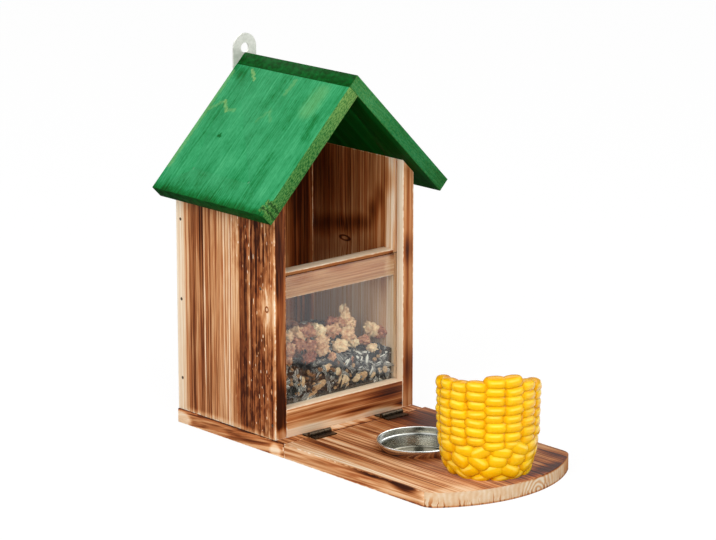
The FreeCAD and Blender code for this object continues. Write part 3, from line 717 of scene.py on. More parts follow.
def green_stain(name, node, side, seed, marks=(), scratches=(), chips=()):
    """The stain of one roof board: side -1 is the left one, 1 the right one.

    Marks and scratches are (start, end, width, strength). Marks darken, scratches are pale. Chips are
    (start, end, width) strokes where the stain is worn down to the olive of the sawn edge, each with a
    dark line beside it that is painted shade.
    """
    low, high = corners(node)
    r = Recipe(name)
    down = Vector((side * math.cos(ROOF_SLOPE), 0.0, -math.sin(ROOF_SLOPE)))
    out = Vector((side * math.sin(ROOF_SLOPE), 0.0, math.cos(ROOF_SLOPE)))
    eave = Vector((side * HALF_WIDTH, 0, EAVE_Z))
    foot = Vector((high.x if side > 0 else low.x, 0, low.z + BOARD * math.cos(ROOF_SLOPE)))
    along = r.minus(down.dot(foot), r.vector("DOT_PRODUCT", r.place, down))
    depth = r.minus(out.dot(eave) + BOARD, r.vector("DOT_PRODUCT", r.place, out))
    across = r.minus(r.y, low.y)
    turned = r.joined(along, across, depth)
    flow = r.swing(r.noise((60, 14, 14), 2, seed, turned), 9.0)
    rings = r.total(across, r.times(depth, 0.6), flow)
    broad = r.lines(rings, 12.0, seed + 1)
    fine = r.lines(rings, 1.5, seed + 2, 2)
    fibre = r.noise((12, 0.9, 0.9), 3, seed + 3, turned, 0.7)
    cloud = r.noise((26, 18, 18), 4, seed + 4, turned, 0.65)
    grit = r.noise((3.2, 1.3, 1.3), 2, seed + 7, turned)
    pale = r.swung(STAIN_TONE, (broad, 0.10), (fine, 0.16), (fibre, 0.40), (cloud, 0.68), (grit, 0.3))
    at_end = r.times(r.ease(along, 7.0, 0.0, 0.0, -0.22), r.ease(depth, 0.5, 0.1))
    pale = r.total(pale, r.ease(along, 16, 3, 0.0, -0.14), r.ease(across, 0.9, 0.2, 0.0, -0.1), at_end)
    length = (high.x - low.x) / math.cos(ROOF_SLOPE) - BOARD
    end_gap = r.maths("MINIMUM", along, r.minus(length, along))
    end_grain = r.swung(0.06, (r.noise((3, 4, 3), 3, seed + 5), 0.5))
    pale = r.blend(r.ease(end_gap, 0.5, 0.1), pale, end_grain)
    # The underside is made nearly black green: painted shade under the roof.
    pale = r.blend(r.ease(depth, BOARD - 0.5, BOARD - 0.1), pale, r.swung(0.02, (broad, 0.14)))
    shift = r.vector("MULTIPLY_ADD", r.noise(2.4, 2, seed + 9, output=1), (5,) * 3, (-2.5,) * 3)
    shaken = r.vector("ADD", r.joined(along, across, 0.0), shift)
    for start, end, width, strength in marks:
        pale = r.total(pale, r.times(stroke(r, shaken, start, end, width), -strength))
    colour = r.ramp(pale, LEAF)
    for start, end, width, strength in scratches:
        colour = r.mix(r.times(stroke(r, shaken, start, end, width), strength), colour, LIME)
    pores = r.ease(r.noise((2.2, 1.0, 0.8), 1, seed + 6, turned), 0.35, 0.6)
    sawn = r.total(0.10, r.times(pores, 0.42), r.swing(fibre, 0.3), r.ease(along, 50, 110, 0.0, 0.3))
    olive = r.ramp(sawn, OLIVE)
    front = r.ease(across, 0.35, 0.05)
    colour = r.mix(r.times(front, 0.5), colour, SIDE_EDGE)
    colour = r.mix(r.times(front, 0.8 if side < 0 else 0.2), colour, olive)
    for start, end, width in chips:
        colour = r.mix(r.ease(stroke(r, shaken, start, end, width), 0.2, 0.5), colour, olive)
        # A dark line beside each chip: painted shade at its edge.
        chip_shade = stroke(r, shaken, (start[0], start[1] - 1.0), (end[0], end[1] - 1.0), 1.3)
        colour = r.mix(r.times(chip_shade, 0.8), colour, CHIP_SHADE_COLOUR)
    height = r.total(r.times(fine, 0.4), r.times(fibre, 0.6))
    return r.finish(colour, r.ease(cloud, 0.3, 0.7, 0.5, 0.62), r.bumps(height, GRAIN_RELIEF), SHEEN / 3)


print("the roof slopes", round(math.degrees(ROOF_SLOPE)), "degrees")

# %% [markdown]
# The left board's top is what the picture shows most of. Its dark marks, pale scratches and worn corner
# are placed one by one, measured up the slope from the eave and back from the front edge. The right
# board's top is hidden, so it stays plain. Both boards are traced from the frame, which has their laps.

# %% The roof boards
DARK_MARKS = [((104, 63.4), (80, 64), 6.0, 0.14), ((93, 34.5), (68, 34), 6.0, 0.13),
              ((79, 13), (62, 9), 6.0, 0.16), ((50, 86.4), (50.6, 87.2), 2.2, 0.4),
              ((42, 27), (16, 26), 9.0, 0.12), ((106, 115), (100, 108), 8.0, 0.2)]
PALE_SCRATCHES = [((105.3, 98.5), (98.2, 90), 1.9, 0.4), ((68.5, 113.4), (77.1, 104), 2.2, 0.16),
                  ((77.1, 104), (69.8, 96.2), 2.2, 0.3), ((69.8, 96.2), (71.7, 89.9), 2.2, 0.16),
                  ((104, 52), (92, 53), 2.6, 0.14), ((67.8, 62.6), (77, 56.3), 2.0, 0.08),
                  ((77, 56.3), (69.3, 50), 2.0, 0.08), ((98, 22), (84, 23), 11.0, 0.12),
                  ((20, 115), (100, 115.6), 3.0, 0.2)]
WORN_CORNER = [((9.5, -1.0), (10.5, 4.0), 3.2), ((4.5, -1.0), (5.5, 5.5), 3.4)]
left_stain = green_stain("left_roof_stain", "left_roof_panel", -1, 51.0, DARK_MARKS, PALE_SCRATCHES,
                         WORN_CORNER)
right_stain = green_stain("right_roof_stain", "right_roof_panel", 1, 61.0)
for node, stain in (("left_roof_panel", left_stain), ("right_roof_panel", right_stain)):
    board = traced(node + "_board", node)
    round_edges(board, SLIGHT_ARRIS)
    dress(board, stain, "feeder_box", "green_stained_pine", node)

# %% [markdown]
# The window is a clear acrylic sheet. One looks through it, and it also mirrors the white floor in
# front of the box, which lays a pale haze over the nuts. Real refraction gives both at once. Lamps
# shine through the sheet because it is transparent to shadow rays.

# %% The window
ACRYLIC_INDEX = 1.49


def clear_sheet(name):
    r = Recipe(name)
    wear = r.ease(r.noise((9, 9, 0.7), 2, 3.0), 0.55, 0.75, 0.01, 0.05)
    sheet = r.add("BsdfPrincipled", {"Base Color": paint(246, 249, 250), "Transmission Weight": 1.0,
                                     "IOR": ACRYLIC_INDEX, "Roughness": wear})
    clear = r.add("BsdfTransparent", [paint(250, 252, 252)])
    both = r.add("MixShader", [seen_by(r, "Shadow"), sheet.outputs[0], clear.outputs[0]])
    r.add("OutputMaterial", [both.outputs[0]])
    return r.material


repaint(clear_sheet("clear_sheet"), "window_pane")
print("window is", round((pane_high.y - pane_low.y), 2), "mm thick")

# %% [markdown]
# Metal parts keep the frame's shapes, which are the real ones. The finishes differ: browned steel on
# the hinges, zinc on the hanger, dull iron for the brads. Nothing is a perfect mirror, so each finish
# wanders between two colours in small patches and is unevenly rough.

# %% Metal finishes
def metal(name, dark, light, roughness, size, metallic, seed):
    """Metal whose colour wanders between two, in patches of a size in mm."""
    r = Recipe(name)
    patches = r.noise(size, 3, seed)
    grain = r.noise(size / 6, 2, seed + 1)
    colour = r.ramp(r.swung(patches, (grain, 0.3)), [(0.3, *dark), (0.7, *light)])
    rough = r.ease(patches, 0.3, 0.7, roughness - 0.08, roughness + 0.08)
    return r.finish(colour, rough, r.bumps(grain, 0.03), Metallic=metallic)


browned = metal("browned_steel", (18, 15, 12), (98, 82, 62), 0.34, 1.3, 0.85, 2.0)
zinc = metal("zinc_plate", (206, 208, 198), (232, 232, 224), 0.38, 3.0, 0.35, 4.0)
iron = metal("dull_iron", (64, 50, 40), (104, 86, 70), 0.5, 1.5, 0.3, 6.0)
stained_iron = metal("stained_iron", (38, 126, 74), (52, 142, 88), 0.55, 1.5, 0.0, 8.0)
hinge_nodes = [side + part for side in ("left_hinge_", "right_hinge_")
               for part in ("rear_leaf", "front_leaf", "pin")]
repaint(browned, "base_hinge_screws", "board_hinge_screws", *hinge_nodes)
repaint(zinc, "hanger_strap", "hanger_screws", "corn_spike")
repaint(iron, "base_brads")
repaint(stained_iron, "roof_brads")
print("hinge pieces", len(hinge_nodes))

# %% [markdown]
# In the frame the brads of the side panels are sunk into small holes. The boards here have no holes, so
# the brads are drawn out sideways by a third of a millimetre, until their heads just show.

# %% Brad heads
HEAD_OUT = 0.36
for node in ("side_brads", "rail_brads"):
    heads = traced(node + "_heads", node)
    resized(heads, (1 + HEAD_OUT / HALF_WIDTH, 1, 1), (0, 0, 0))
    dress(heads, iron, "feeder_box", "dull_steel", node)
print("brads reach", round(heads.bound_box[4][0] / MM, 2), "mm")

# %% [markdown]
# The landing board is a wide pine board with a sawn arc in front and a hole for the bowl. Its outline
# is traced from the frame. It was torched more unevenly than the house: golden along the left edge,
# brown and red in the middle. The arc cuts across the grain, so there the rings of the tree show
# as arcs around their heart. That edge gets a second finish, for end grain.

# %% The landing board
LANDING_HEART = (77.0, 0.6)
LANDING_ARRIS = 0.6
ARC_TINT = paint(230, 232, 232)
landing_low, landing_high = corners("landing_board")
landing_board = plank(
    "landing_board", "landing_pine", traced("landing_board_board", "landing_board"), LANDING_ARRIS, 3,
    "landing", along="y", heart=LANDING_HEART, tone=0.65, ring_gap=1.9, contrast=1.25, slant=0.02,
    streak_axis="x",
    streaks=[(5.0, 4.0, -0.20), (15.0, 4.0, 0.10), (26.0, 5.0, -0.08), (36.0, 3.0, 0.14),
             (103.0, 5.0, 0.10), (118.0, 3.0, 0.14)],
    burns=[((16, 130, 10), (9, 50, 3), 0.22), ((0, 74, 10.4), (3, 50, 4.0), 1.0),
           ((0, 46, 10.0), (3, 20, 6.4), 1.1), ((0, 30, -0.2), (2, 60, 1.6), 0.7),
           # The burn on the back face, at 164.8, is painted shade in the seam against the base board.
           ((100, 9, 10), (38, 14, 3), 0.5), ((64, 164.8, 5), (80, 1.5, 12), 1.2),
           ((0, 120, 3), (3, 60, 3.0), 0.16), ((98, 158, 10), (20, 10, 3), 0.35),
           ((40, 102, 10), (18, 28, 3), 0.26), ((54, 76, 10), (22, 18, 3), 0.3),
           ((108, 138, 10), (42, 42, 3), 0.55), ((78, 8, 10), (52, 12, 3), 0.34),
           ((62, 150, 10), (16, 16, 3), 0.14), ((120, 26, 10), (16, 22, 3), 0.36)],
    bare=[((4, 90, 11), (6, 130, 2.5), 0.4), ((12, 14, 11), (26, 16, 4), 0.6),
          ((0, 22, 4), (4, 12, 6), 0.45)],
    arris=0.3, seed=71.0)


def sawn_arc(name, heart, burns, seed):
    """Pale end grain: faint rings, dark strokes that rise from the lower edge, and burns."""
    r = Recipe(name, landing_low)
    heart_gap = r.from_axis(r.minus(r.x, heart[0]), r.minus(r.z, heart[1]))
    rings = r.swung(heart_gap, (r.noise((14, 14, 6), 2, seed), 5.0))
    wave = r.maths("SINE", r.times(rings, math.tau / 3.4))
    cloud = r.noise((9, 9, 5), 3, seed + 1)
    pale = r.total(r.swung(0.89, (cloud, 0.26)), r.times(wave, r.ease(heart_gap, 22, 6, 0.03, 0.14)))
    strokes = r.ease(r.lines(r.swung(r.x, (cloud, 3)), 1.6, seed + 2), 0.62, 0.9)
    reach = r.ease(r.lines(r.x, 9.0, seed + 3), 0.2, 0.9, 1.5, 9.0)
    pale = r.total(pale, r.times(r.times(strokes, r.ease(r.z, reach, 0.0)), -0.5))
    pale = r.burned(r.total(pale, r.ease(r.z, 1.6, 0.2, 0.0, -0.3)), burns)
    colour = r.mix(r.ease(pale, 0.3, 0.8), r.ramp(pale, TOAST), ARC_TINT, "MULTIPLY")
    return r.finish(colour, 0.65, r.bumps(cloud, 0.2), SHEEN / 3)


landing_board.data.materials.append(sawn_arc(
    "landing_edge_pine", LANDING_HEART,
    [((98, 0, 10.6), (52, 34, 2.4), 1.0), ((122, 20, 5), (18, 26, 12), 0.30)], 77.0))
front_faces = [int(face.normal.y < -0.25 and abs(face.normal.z) < 0.5)
               for face in landing_board.data.polygons]
landing_board.data.polygons.foreach_set("material_index", front_faces)
print("front arc has", sum(front_faces), "faces")

# %% [markdown]
# The bowl is spun from thin steel on a lathe, and the model is made the same way: a ring is drawn out
# along the bowl's profile, up the inside, round the bead at the rim and down the outside. Spun
# steel has very fine rings around its axis, which stretch a highlight sideways. They are a bump
# pattern of the distance from the axis and of the height. The collar slants and is polished. Below
# the step the cup is painted greyer, and darker still towards its floor: a painted dark reflection.

# %% The bowl
bowl_low, bowl_high = corners("feeding_bowl")
bowl_axis = (bowl_low + bowl_high) / 2
CUP_RADIUS = 26.0
CUP_BEVEL = 1.6
INNER_RISE = 1.2
STEP_RADIUS = 27.4
SHEET = 0.6
BEAD = 0.7
RING_RELIEF = 0.0012
cup_inner = CUP_RADIUS - SHEET
floor_z = bowl_low.z + SHEET
step_z = landing_high.z
rim_radius = (bowl_high.x - bowl_low.x) / 2


def spun_steel(name, axis):
    r = Recipe(name, (axis.x, axis.y, 0))
    turning = r.lines(r.total(r.from_axis(r.x, r.y), r.z), 0.16, 0.0, 2)
    cloud = r.noise((12, 12, 5), 2, 5.0)
    colour = r.ramp(cloud, [(0.3, 222, 224, 219), (0.7, 240, 241, 236)])
    # Greyer below the step and darker towards the floor: a painted dark reflection.
    colour = r.mix(r.ease(r.z, step_z, step_z - 1.5), colour, paint(214, 212, 201))
    colour = r.mix(r.ease(r.z, floor_z + 2.0, floor_z + 0.3), colour, paint(152, 148, 134))
    rough = r.total(r.ease(cloud, 0.3, 0.7, 0.16, 0.24), r.swing(turning, 0.06))
    return r.finish(colour, rough, r.bumps(turning, RING_RELIEF), Metallic=1.0)


def turned(name, axis, profile, steps=96):
    """A solid of revolution: a ring is drawn out from point to point of a profile and closed at its ends."""
    radius, height = profile[0]
    middle = Vector((axis.x, axis.y, height)) * MM
    piece = added(bpy.ops.mesh.primitive_circle_add, name, vertices=steps, radius=radius * MM,
                  fill_type="NGON", location=middle)
    everything(piece)
    bpy.context.tool_settings.mesh_select_mode = (False, True, False)
    for new_radius, new_height in profile[1:]:
        rise = {"value": (0, 0, (new_height - height) * MM)}
        bpy.ops.mesh.extrude_edges_move(TRANSFORM_OT_translate=rise)
        grow = new_radius / radius
        bpy.ops.transform.resize(value=(grow, grow, 1), center_override=middle)
        radius, height = new_radius, new_height
    bpy.ops.mesh.edge_face_add()
    bpy.ops.mesh.select_all(action="SELECT")
    bpy.ops.mesh.normals_make_consistent(inside=False)
    close()
    return piece


def bend(radius, z, wide, tall, start, end, steps):
    """Profile points round a bend whose centre is given; its angles count from straight up."""
    angles = [math.radians(start + (end - start) * n / steps) for n in range(steps + 1)]
    return [(radius + wide * math.sin(angle), z + tall * math.cos(angle)) for angle in angles]


profile = [(1.0, floor_z),
           *bend(cup_inner - CUP_BEVEL, floor_z + INNER_RISE, CUP_BEVEL, -INNER_RISE, 0, 90, 4),
           (cup_inner, step_z - 0.4), (cup_inner + 0.3, step_z + 0.3), (STEP_RADIUS - 0.3, step_z + 0.3),
           (STEP_RADIUS, step_z + 0.6), *bend(rim_radius - BEAD, bowl_high.z - BEAD, BEAD, BEAD, -130, 90, 8),
           (STEP_RADIUS + SHEET, step_z + 0.3), (STEP_RADIUS + SHEET - 0.3, step_z), (CUP_RADIUS, step_z),
           (CUP_RADIUS, bowl_low.z + CUP_BEVEL), (CUP_RADIUS - CUP_BEVEL, bowl_low.z), (1.0, bowl_low.z)]
bowl = turned("spun_bowl", bowl_axis, profile)
smooth(bowl, 40)
dress(bowl, spun_steel("spun_steel", bowl_axis), "bowl", "stainless_steel", "feeding_bowl")

# %% [markdown]
# Things that come in heaps are modelled once and copied with a mesh of their own. Each copy
# remembers two things for its finish: where every point sat on the pattern, from -1 to 1, and one
# lucky number that shifts its colour. Both are plain mesh attributes, so they survive the joining.

# %% Patterns and their copies
def keep_pattern(piece):
    """Stores each point's own place on the pattern."""
    bpy.ops.object.shade_smooth()
    places = piece.data.attributes.new("own", "FLOAT_VECTOR", "POINT")
    flat = [0.0] * (len(piece.data.vertices) * 3)
    piece.data.vertices.foreach_get("co", flat)
    places.data.foreach_set("vector", flat)
    return piece


def pillow(name, cuts, roundness):
    """A cube of side 2 that is part of the way to a ball."""
    piece = added(bpy.ops.mesh.primitive_cube_add, name, size=2)
    everything(piece)
    bpy.ops.mesh.subdivide(number_cuts=cuts)
    bpy.ops.transform.tosphere(value=roundness)
    close()
    return keep_pattern(piece)


def stamped(pattern, name, place, turn, size, luck):
    """A copy of a pattern, of this size in mm, turned and put in place, with its lucky number."""
    piece = pattern.copy()
    piece.data = pattern.data.copy()
    piece.name = name
    bpy.context.collection.objects.link(piece)
    numbers = piece.data.attributes.new("luck", "FLOAT", "POINT")
    numbers.data.foreach_set("value", [luck] * len(piece.data.vertices))
    scale = Matrix.Diagonal((*(v / 2 * MM for v in size), 1.0))
    piece.matrix_world = Matrix.Translation(Vector(place) * MM) @ turn.to_4x4() @ scale
    return piece


def spin(axis, degrees):
    return Matrix.Rotation(math.radians(degrees), 3, axis)


def own(recipe, name, output):
    """What a copy remembers: its place on the pattern or its luck."""
    return recipe.add("Attribute", attribute_name=name).outputs[output]


def put_away(*patterns):
    for pattern in patterns:
        bpy.data.objects.remove(pattern)


print("patterns are 2 units wide before they are stamped")

# %% [markdown]
# Between the rows the core shows as a thin dark line, and on the slanted cut its white pith. The core
# is traced from the frame's cob and shrunk to the kernels' roots. The spike goes up its middle.

# %% The core of the cob
CORE_SHARE = (0.8, 0.8, 0.92)
PITH_RADIUS = 30
cob_low, cob_high = corners("corn_cob")
cob_axis = (cob_low + cob_high) / 2
core = traced("corn_core", "corn_cob")
resized(core, CORE_SHARE, (cob_axis.x, cob_axis.y, cob_low.z))
smooth(core, 40)


def corn_pith(name):
    r = Recipe(name, (cob_axis.x, cob_axis.y, 0))
    fibres = r.noise((1.2, 1.2, 6), 2, 1.0)
    outward = r.total(r.times(r.from_axis(r.x, r.y), 1 / PITH_RADIUS), r.swing(fibres, 0.12))
    colour = r.ramp(outward, [(0.0, 244, 236, 214), (0.42, 240, 226, 190), (0.5, 226, 190, 110),
                              (0.72, 238, 188, 60), (0.86, 205, 118, 4)])
    return r.finish(colour, 0.55, r.bumps(fibres, 0.3))


dress(core, corn_pith("corn_pith"), "cob", "sweetcorn")
print("core reaches", round(max(v.co.z for v in core.data.vertices) / MM, 1), "mm")

# %% [markdown]
# Sweetcorn grows in an even number of rows. Sixteen rows of flat kernels stand round the core, one
# above the other, each kernel a little out of line. Near the foot the rows break up and the kernels
# are larger, rounder and tilted. The cob was cut at a slant, so the rows end at different heights.
# The kernel is a pillow with a slightly domed outer face.

# %% The corn cob
COB_ROWS = 16
KERNEL_RISE = 5.95
KERNEL_DEPTH = 9.0
COB_RADIUS = 33.4
COB_PROFILE = [(10.3, 25.0), (12.5, 27.0), (15.0, 28.3), (20.0, 29.6), (25.0, 30.9), (30.0, 31.9),
               (40.0, 33.2), (50.0, 33.4), (80.0, 33.4)]
ROW_TOPS = {-3: 72.6, -2: 74.4, -1: 75.2, 0: 76.8, 1: 79.8, 2: 79.4, 3: 75.2, 4: 72.6, 5: 69.0}
CUT_MIDDLE = 70.4
CUT_RISE = 8.9
BACK_DROP = 3.5
FIRST_ROW = -17.0
FOOT_TOP = 34.5


def cob_reach(z):
    """The cob's radius at a height, from its profile."""
    for (z_low, r_low), (z_high, r_high) in zip(COB_PROFILE, COB_PROFILE[1:]):
        if z <= z_high:
            return r_low + (r_high - r_low) * max(0.0, z - z_low) / (z_high - z_low)
    return COB_PROFILE[-1][1]


def kernel_at(pattern, bearing, z, width, height, tilt, roll, luck, rise):
    """A kernel with its outer face on the cob's surface; the bearing is from the camera's side."""
    azimuth = math.radians(CAMERA_AZIMUTH + bearing)
    reach = cob_reach(z) - KERNEL_DEPTH / 2 + rise
    place = (cob_axis.x + reach * math.sin(azimuth), cob_axis.y - reach * math.cos(azimuth), z)
    turn = spin("Z", CAMERA_AZIMUTH + bearing - 90) @ spin("Y", tilt) @ spin("X", roll)
    return stamped(pattern, "kernel", place, turn, (KERNEL_DEPTH, width, height), luck)


kernel_shape = pillow("kernel_shape", 4, 0.8)
chance = random.Random(12)
kernels = []
width = 2 * math.pi * (COB_RADIUS - 1.2) / COB_ROWS
for row in range(COB_ROWS):
    step = row - COB_ROWS if row > COB_ROWS // 2 else row
    bearing = FIRST_ROW + step * 360 / COB_ROWS
    top = ROW_TOPS.get(step, CUT_MIDDLE + CUT_RISE * math.cos(math.radians(bearing)) - BACK_DROP)
    z = top - KERNEL_RISE / 2
    while z > FOOT_TOP + chance.uniform(-2.0, 1.5):
        kernels.append(kernel_at(kernel_shape, bearing + chance.uniform(-1.4, 1.4), z,
                                 width * chance.uniform(1.0, 1.13), KERNEL_RISE * chance.uniform(1.1, 1.24),
                                 chance.uniform(-7, 7), chance.uniform(-5, 5), chance.random(),
                                 chance.uniform(-0.6, 0.6)))
        z -= KERNEL_RISE
print("kernels in rows", len(kernels))

# %% The foot of the cob
FOOT_RINGS = [(31.0, 15, 14.0, 9.6, 0), (24.6, 14, 14.0, 10.4, 6), (18.4, 13, 14.0, 10.4, 14),
              (13.8, 13, 12.4, 7.8, 28)]
foot_shape = pillow("foot_shape", 4, 0.85)
for z, count, width, height, lean in FOOT_RINGS:
    shift = chance.uniform(0, 360)
    for n in range(count):
        bearing = shift + (n + chance.uniform(-0.12, 0.12)) * 360 / count
        kernels.append(kernel_at(foot_shape, bearing, z + chance.uniform(-1.0, 1.0),
                                 width * chance.uniform(0.92, 1.12), height * chance.uniform(0.9, 1.12),
                                 lean + chance.uniform(-6, 6), chance.uniform(-34, 34), chance.random(),
                                 chance.uniform(-0.6, 0.6)))
print("kernels with the foot", len(kernels))

# %% [markdown]
# A kernel is yellow flesh under a glossy skin. Its rim and root are painted deeper orange, which is
# painted shade in the seams between kernels. Its upper part is painted paler, with a pale band across
# it: painted light from above and a painted highlight. The skin's gloss stops short of the rim,
# because the rims lie in each other's shade.

# %% The finish of the corn
CORN_LIGHT = {"Subsurface Weight": 0.15, "Subsurface Scale": 0.002, "Subsurface Radius": (1.0, 0.6, 0.1),
              "Coat Roughness": 0.15}


def sweetcorn(name):
    r = Recipe(name)
    out, side, up = r.parts(own(r, "own", "Vector"))
    cloud = r.noise((5, 5, 4), 2, 7.0)
    # The upper part of each kernel is painted paler: painted light from above.
    pale = r.total(r.swung(0.5, (own(r, "luck", "Fac"), 0.3), (cloud, 0.35)), r.times(up, 0.24))
    flesh = r.ramp(pale, [(0.1, 222, 160, 0), (0.5, 234, 178, 2), (0.9, 245, 198, 16)])
    side = r.maths("ABSOLUTE", side)
    rim = r.maths("MAXIMUM", side, r.maths("ABSOLUTE", up))
    # Rim and root are painted deeper orange: painted shade in the seams between kernels.
    edge = r.maths("MAXIMUM", r.ease(rim, 0.7, 0.94, 0.0, 0.6), r.ease(out, 0.3, -0.3))
    # A pale band across the upper part of each kernel: a painted highlight.
    painted_highlight = r.times(r.ease(r.apart(up, 0.4), 0.3, 0.05), r.ease(side, 0.8, 0.3))
    colour = r.mix(edge, flesh, paint(216, 141, 0))
    colour = r.mix(r.times(painted_highlight, 0.55), colour, paint(255, 222, 96))
    skin = {"Coat Weight": r.ease(rim, 0.62, 0.9, 0.4, 0.0)} | CORN_LIGHT
    return r.finish(colour, r.ease(cloud, 0.3, 0.7, 0.16, 0.32), r.bumps(cloud, 0.16), 0.1, **skin)


corn = merged(kernels, "corn_kernels")
corn.visible_glossy = False
core.visible_glossy = False
dress(corn, sweetcorn("sweetcorn_skin"), "cob", "sweetcorn", "corn_cob")
put_away(kernel_shape, foot_shape)

# %% [markdown]
# The bin holds a mix of striped sunflower seeds, split peanuts and grain, with walnut kernels on top.
# Only what lies against the window and on top of the heap is seen, so a plain dark bed fills the
# rest. A seed is a flattened ball with one end drawn in. Its stripes follow its own length.

# %% Seeds
PANE_GAP = 0.4
FRONT_LAYER = 5.0
SEEDS_IN_FRONT = 230
SEEDS_ON_TOP = 430
bin_low, bin_high = corners("seed_mix")
pane_back = pane_high.y + PANE_GAP


def ball(name, segments, rings):
    return added(bpy.ops.mesh.primitive_uv_sphere_add, name, segments=segments, ring_count=rings, radius=1)


def heap_top(x, y):
    """How high the seeds lie at a place in the bin."""
    back = max(0.0, (y - bin_low.y) / (bin_high.y - bin_low.y))
    wave = 1.6 * math.sin(x / 13.0 + 1.0) + 1.2 * math.sin(y / 11.0 + x / 23.0)
    return bin_high.z - 2.5 + 6.0 * back - 2.0 * back * (x / 50.0) + wave


def resting(piece):
    """Moves a piece back from the window until it just clears it."""
    front = min((piece.matrix_world @ v.co).y for v in piece.data.vertices)
    piece.location.y += max(0.0, pane_back * MM - front)
    return piece


seed_shape = ball("seed_shape", 10, 6)
pick_faces(seed_shape, lambda face: face.center.z > 0.45)
bpy.ops.transform.resize(value=(0.62, 0.62, 1.1), center_override=(0, 0, 0.6))
close()
keep_pattern(seed_shape)
chance = random.Random(5)
seeds = []
for n in range(SEEDS_IN_FRONT):
    x = chance.uniform(bin_low.x + 3.5, bin_high.x - 3.5)
    z = chance.uniform(bin_low.z + 18, heap_top(x, bin_low.y) + 1.5)
    turn = spin("Z", chance.gauss(0, 22)) @ spin("X", chance.gauss(0, 16)) @ spin("Y", chance.uniform(0, 180))
    size = (chance.uniform(2.8, 3.8), chance.uniform(2.0, 2.8), chance.uniform(9.0, 12.0))
    place = (x, pane_back + chance.uniform(1.0, FRONT_LAYER), z)
    seeds.append(resting(stamped(seed_shape, "seed", place, turn, size, chance.random())))
for n in range(SEEDS_ON_TOP):
    x = chance.uniform(bin_low.x + 4, bin_high.x - 4)
    y = chance.uniform(bin_low.y + 5, bin_high.y - 4)
    turn = spin("Z", chance.uniform(0, 360)) @ spin("Y", chance.gauss(0, 14))
    turn = turn @ spin("X", 90 + chance.gauss(0, 16))
    size = (chance.uniform(3.2, 4.6), chance.uniform(2.0, 2.8), chance.uniform(8.5, 11.5))
    place = (x, y, heap_top(x, y) + chance.uniform(-0.6, 1.6))
    seeds.append(stamped(seed_shape, "seed", place, turn, size, chance.random()))


def seed_husk(name):
    r = Recipe(name)
    across = r.parts(own(r, "own", "Vector"))[0]
    luck = own(r, "luck", "Fac")
    width = r.maths("ABSOLUTE", r.swung(across, (r.noise(3, 1, 2.0), 0.16)))
    lines = r.maths("MAXIMUM", r.ease(width, 0.5, 0.7), r.ease(r.apart(width, 0.22), 0.12, 0.03))
    stripe = r.times(lines, r.ease(luck, 0.25, 0.85, 0.05, 1.0))
    husk = r.ramp(luck, [(0.0, 6, 5, 6), (0.6, 14, 13, 14), (1.0, 40, 35, 31)])
    colour = r.mix(stripe, husk, paint(234, 228, 212))
    return r.finish(colour, 0.5, r.bumps(r.noise((0.6, 0.6, 4), 1, 3.0), 0.1))


seed_heap = merged(seeds, "sunflower_seeds")
dress(seed_heap, seed_husk("seed_husk"), "feeder_box", "sunflower_seed", "seed_mix")

# %% Peanuts, grain and the bed
PEANUTS = [(5.5, 37, 7, 11, 20), (9.5, 36, 6, 9, -15), (19, 36, 6, 7, 60), (25, 37, 6, 8, 80),
           (-13, 38, 5, 9, 70), (-17, 36, 4, 8, 90), (-30, 42, 4, 9, 10), (-22, 33, 4, 12, 75),
           (34, 36, 5, 6, 50), (40, 37, 5, 5, 100), (2, 44, 5, 6, 30), (46, 37, 4, 5, 0)]
PEANUT_THICK = 4.2
GRAINS = 50
nut_shape = keep_pattern(ball("nut_shape", 10, 7))
nuts = []
for x, z, width, length, turn in PEANUTS:
    way = spin("Z", chance.gauss(0, 10)) @ spin("Y", turn)
    size = (width, PEANUT_THICK, length)
    place = (x, pane_back + 2.2, z)
    nuts.append(resting(stamped(nut_shape, "peanut", place, way, size, chance.uniform(0.5, 1.0))))
for n in range(GRAINS):
    x = chance.triangular(bin_low.x + 3, bin_high.x - 3, bin_low.x + 20)
    z = chance.triangular(bin_low.z + 20, bin_low.z + 44, bin_low.z + 34)
    way = spin("Z", chance.uniform(0, 180)) @ spin("X", chance.uniform(0, 180))
    size = chance.uniform(1.8, 3.6)
    place = (x, pane_back + chance.uniform(0.5, 3.5), z)
    size = (size, size * 0.8, size * chance.uniform(1.0, 1.6))
    nuts.append(resting(stamped(nut_shape, "grain", place, way, size, chance.random() * 0.6)))


def kernel_meat(name, stops, seed):
    """Nut meat: a colour by luck, uneven over the piece."""
    r = Recipe(name)
    luck = r.times(own(r, "luck", "Fac"), 0.55)
    blotch = r.times(r.noise(0.55, 3, seed, own(r, "own", "Vector")), 0.75)
    fine = r.noise(1.2, 2, seed + 1)
    tone = r.total(luck, blotch, r.swing(fine, 0.2), -0.12)
    return r.finish(r.ramp(tone, stops), 0.5, r.bumps(fine, 0.25))


def dark_bed(name):
    r = Recipe(name)
    lumps = r.noise(4, 2, 1.0)
    return r.finish(r.ramp(lumps, [(0.35, 24, 20, 18), (0.65, 66, 54, 46)]), 0.7, r.bumps(lumps, 1.0))


nut_heap = merged(nuts, "peanuts_and_grain")
peanut_meat = kernel_meat("peanut_meat", [(0.1, 80, 46, 28), (0.35, 134, 92, 58), (0.6, 192, 152, 108),
                                          (0.85, 230, 202, 160)], 3.0)
dress(nut_heap, peanut_meat, "feeder_box", "sunflower_seed", "seed_mix")
bed = block("seed_bed", (bin_low.x + 0.2, pane_back + 3.0, bin_low.z + 0.2),
            (bin_high.x - 0.2, bin_high.y - 0.2, bin_high.z - 3.0))
dress(bed, dark_bed("seed_bed_dark"), "feeder_box", "sunflower_seed", "seed_mix")

# %% [markdown]
# Walnut kernels look like small brains. The pattern is a ball that is pushed out and in by a coarse
# cloud texture and then by a cell texture, whose borders make the folds. Five patterns differ because
# the ball sits elsewhere in the textures each time. In front they lie where the photograph has them.
# A place seen on the window is followed along the line of sight to the depth at which the kernel lies.

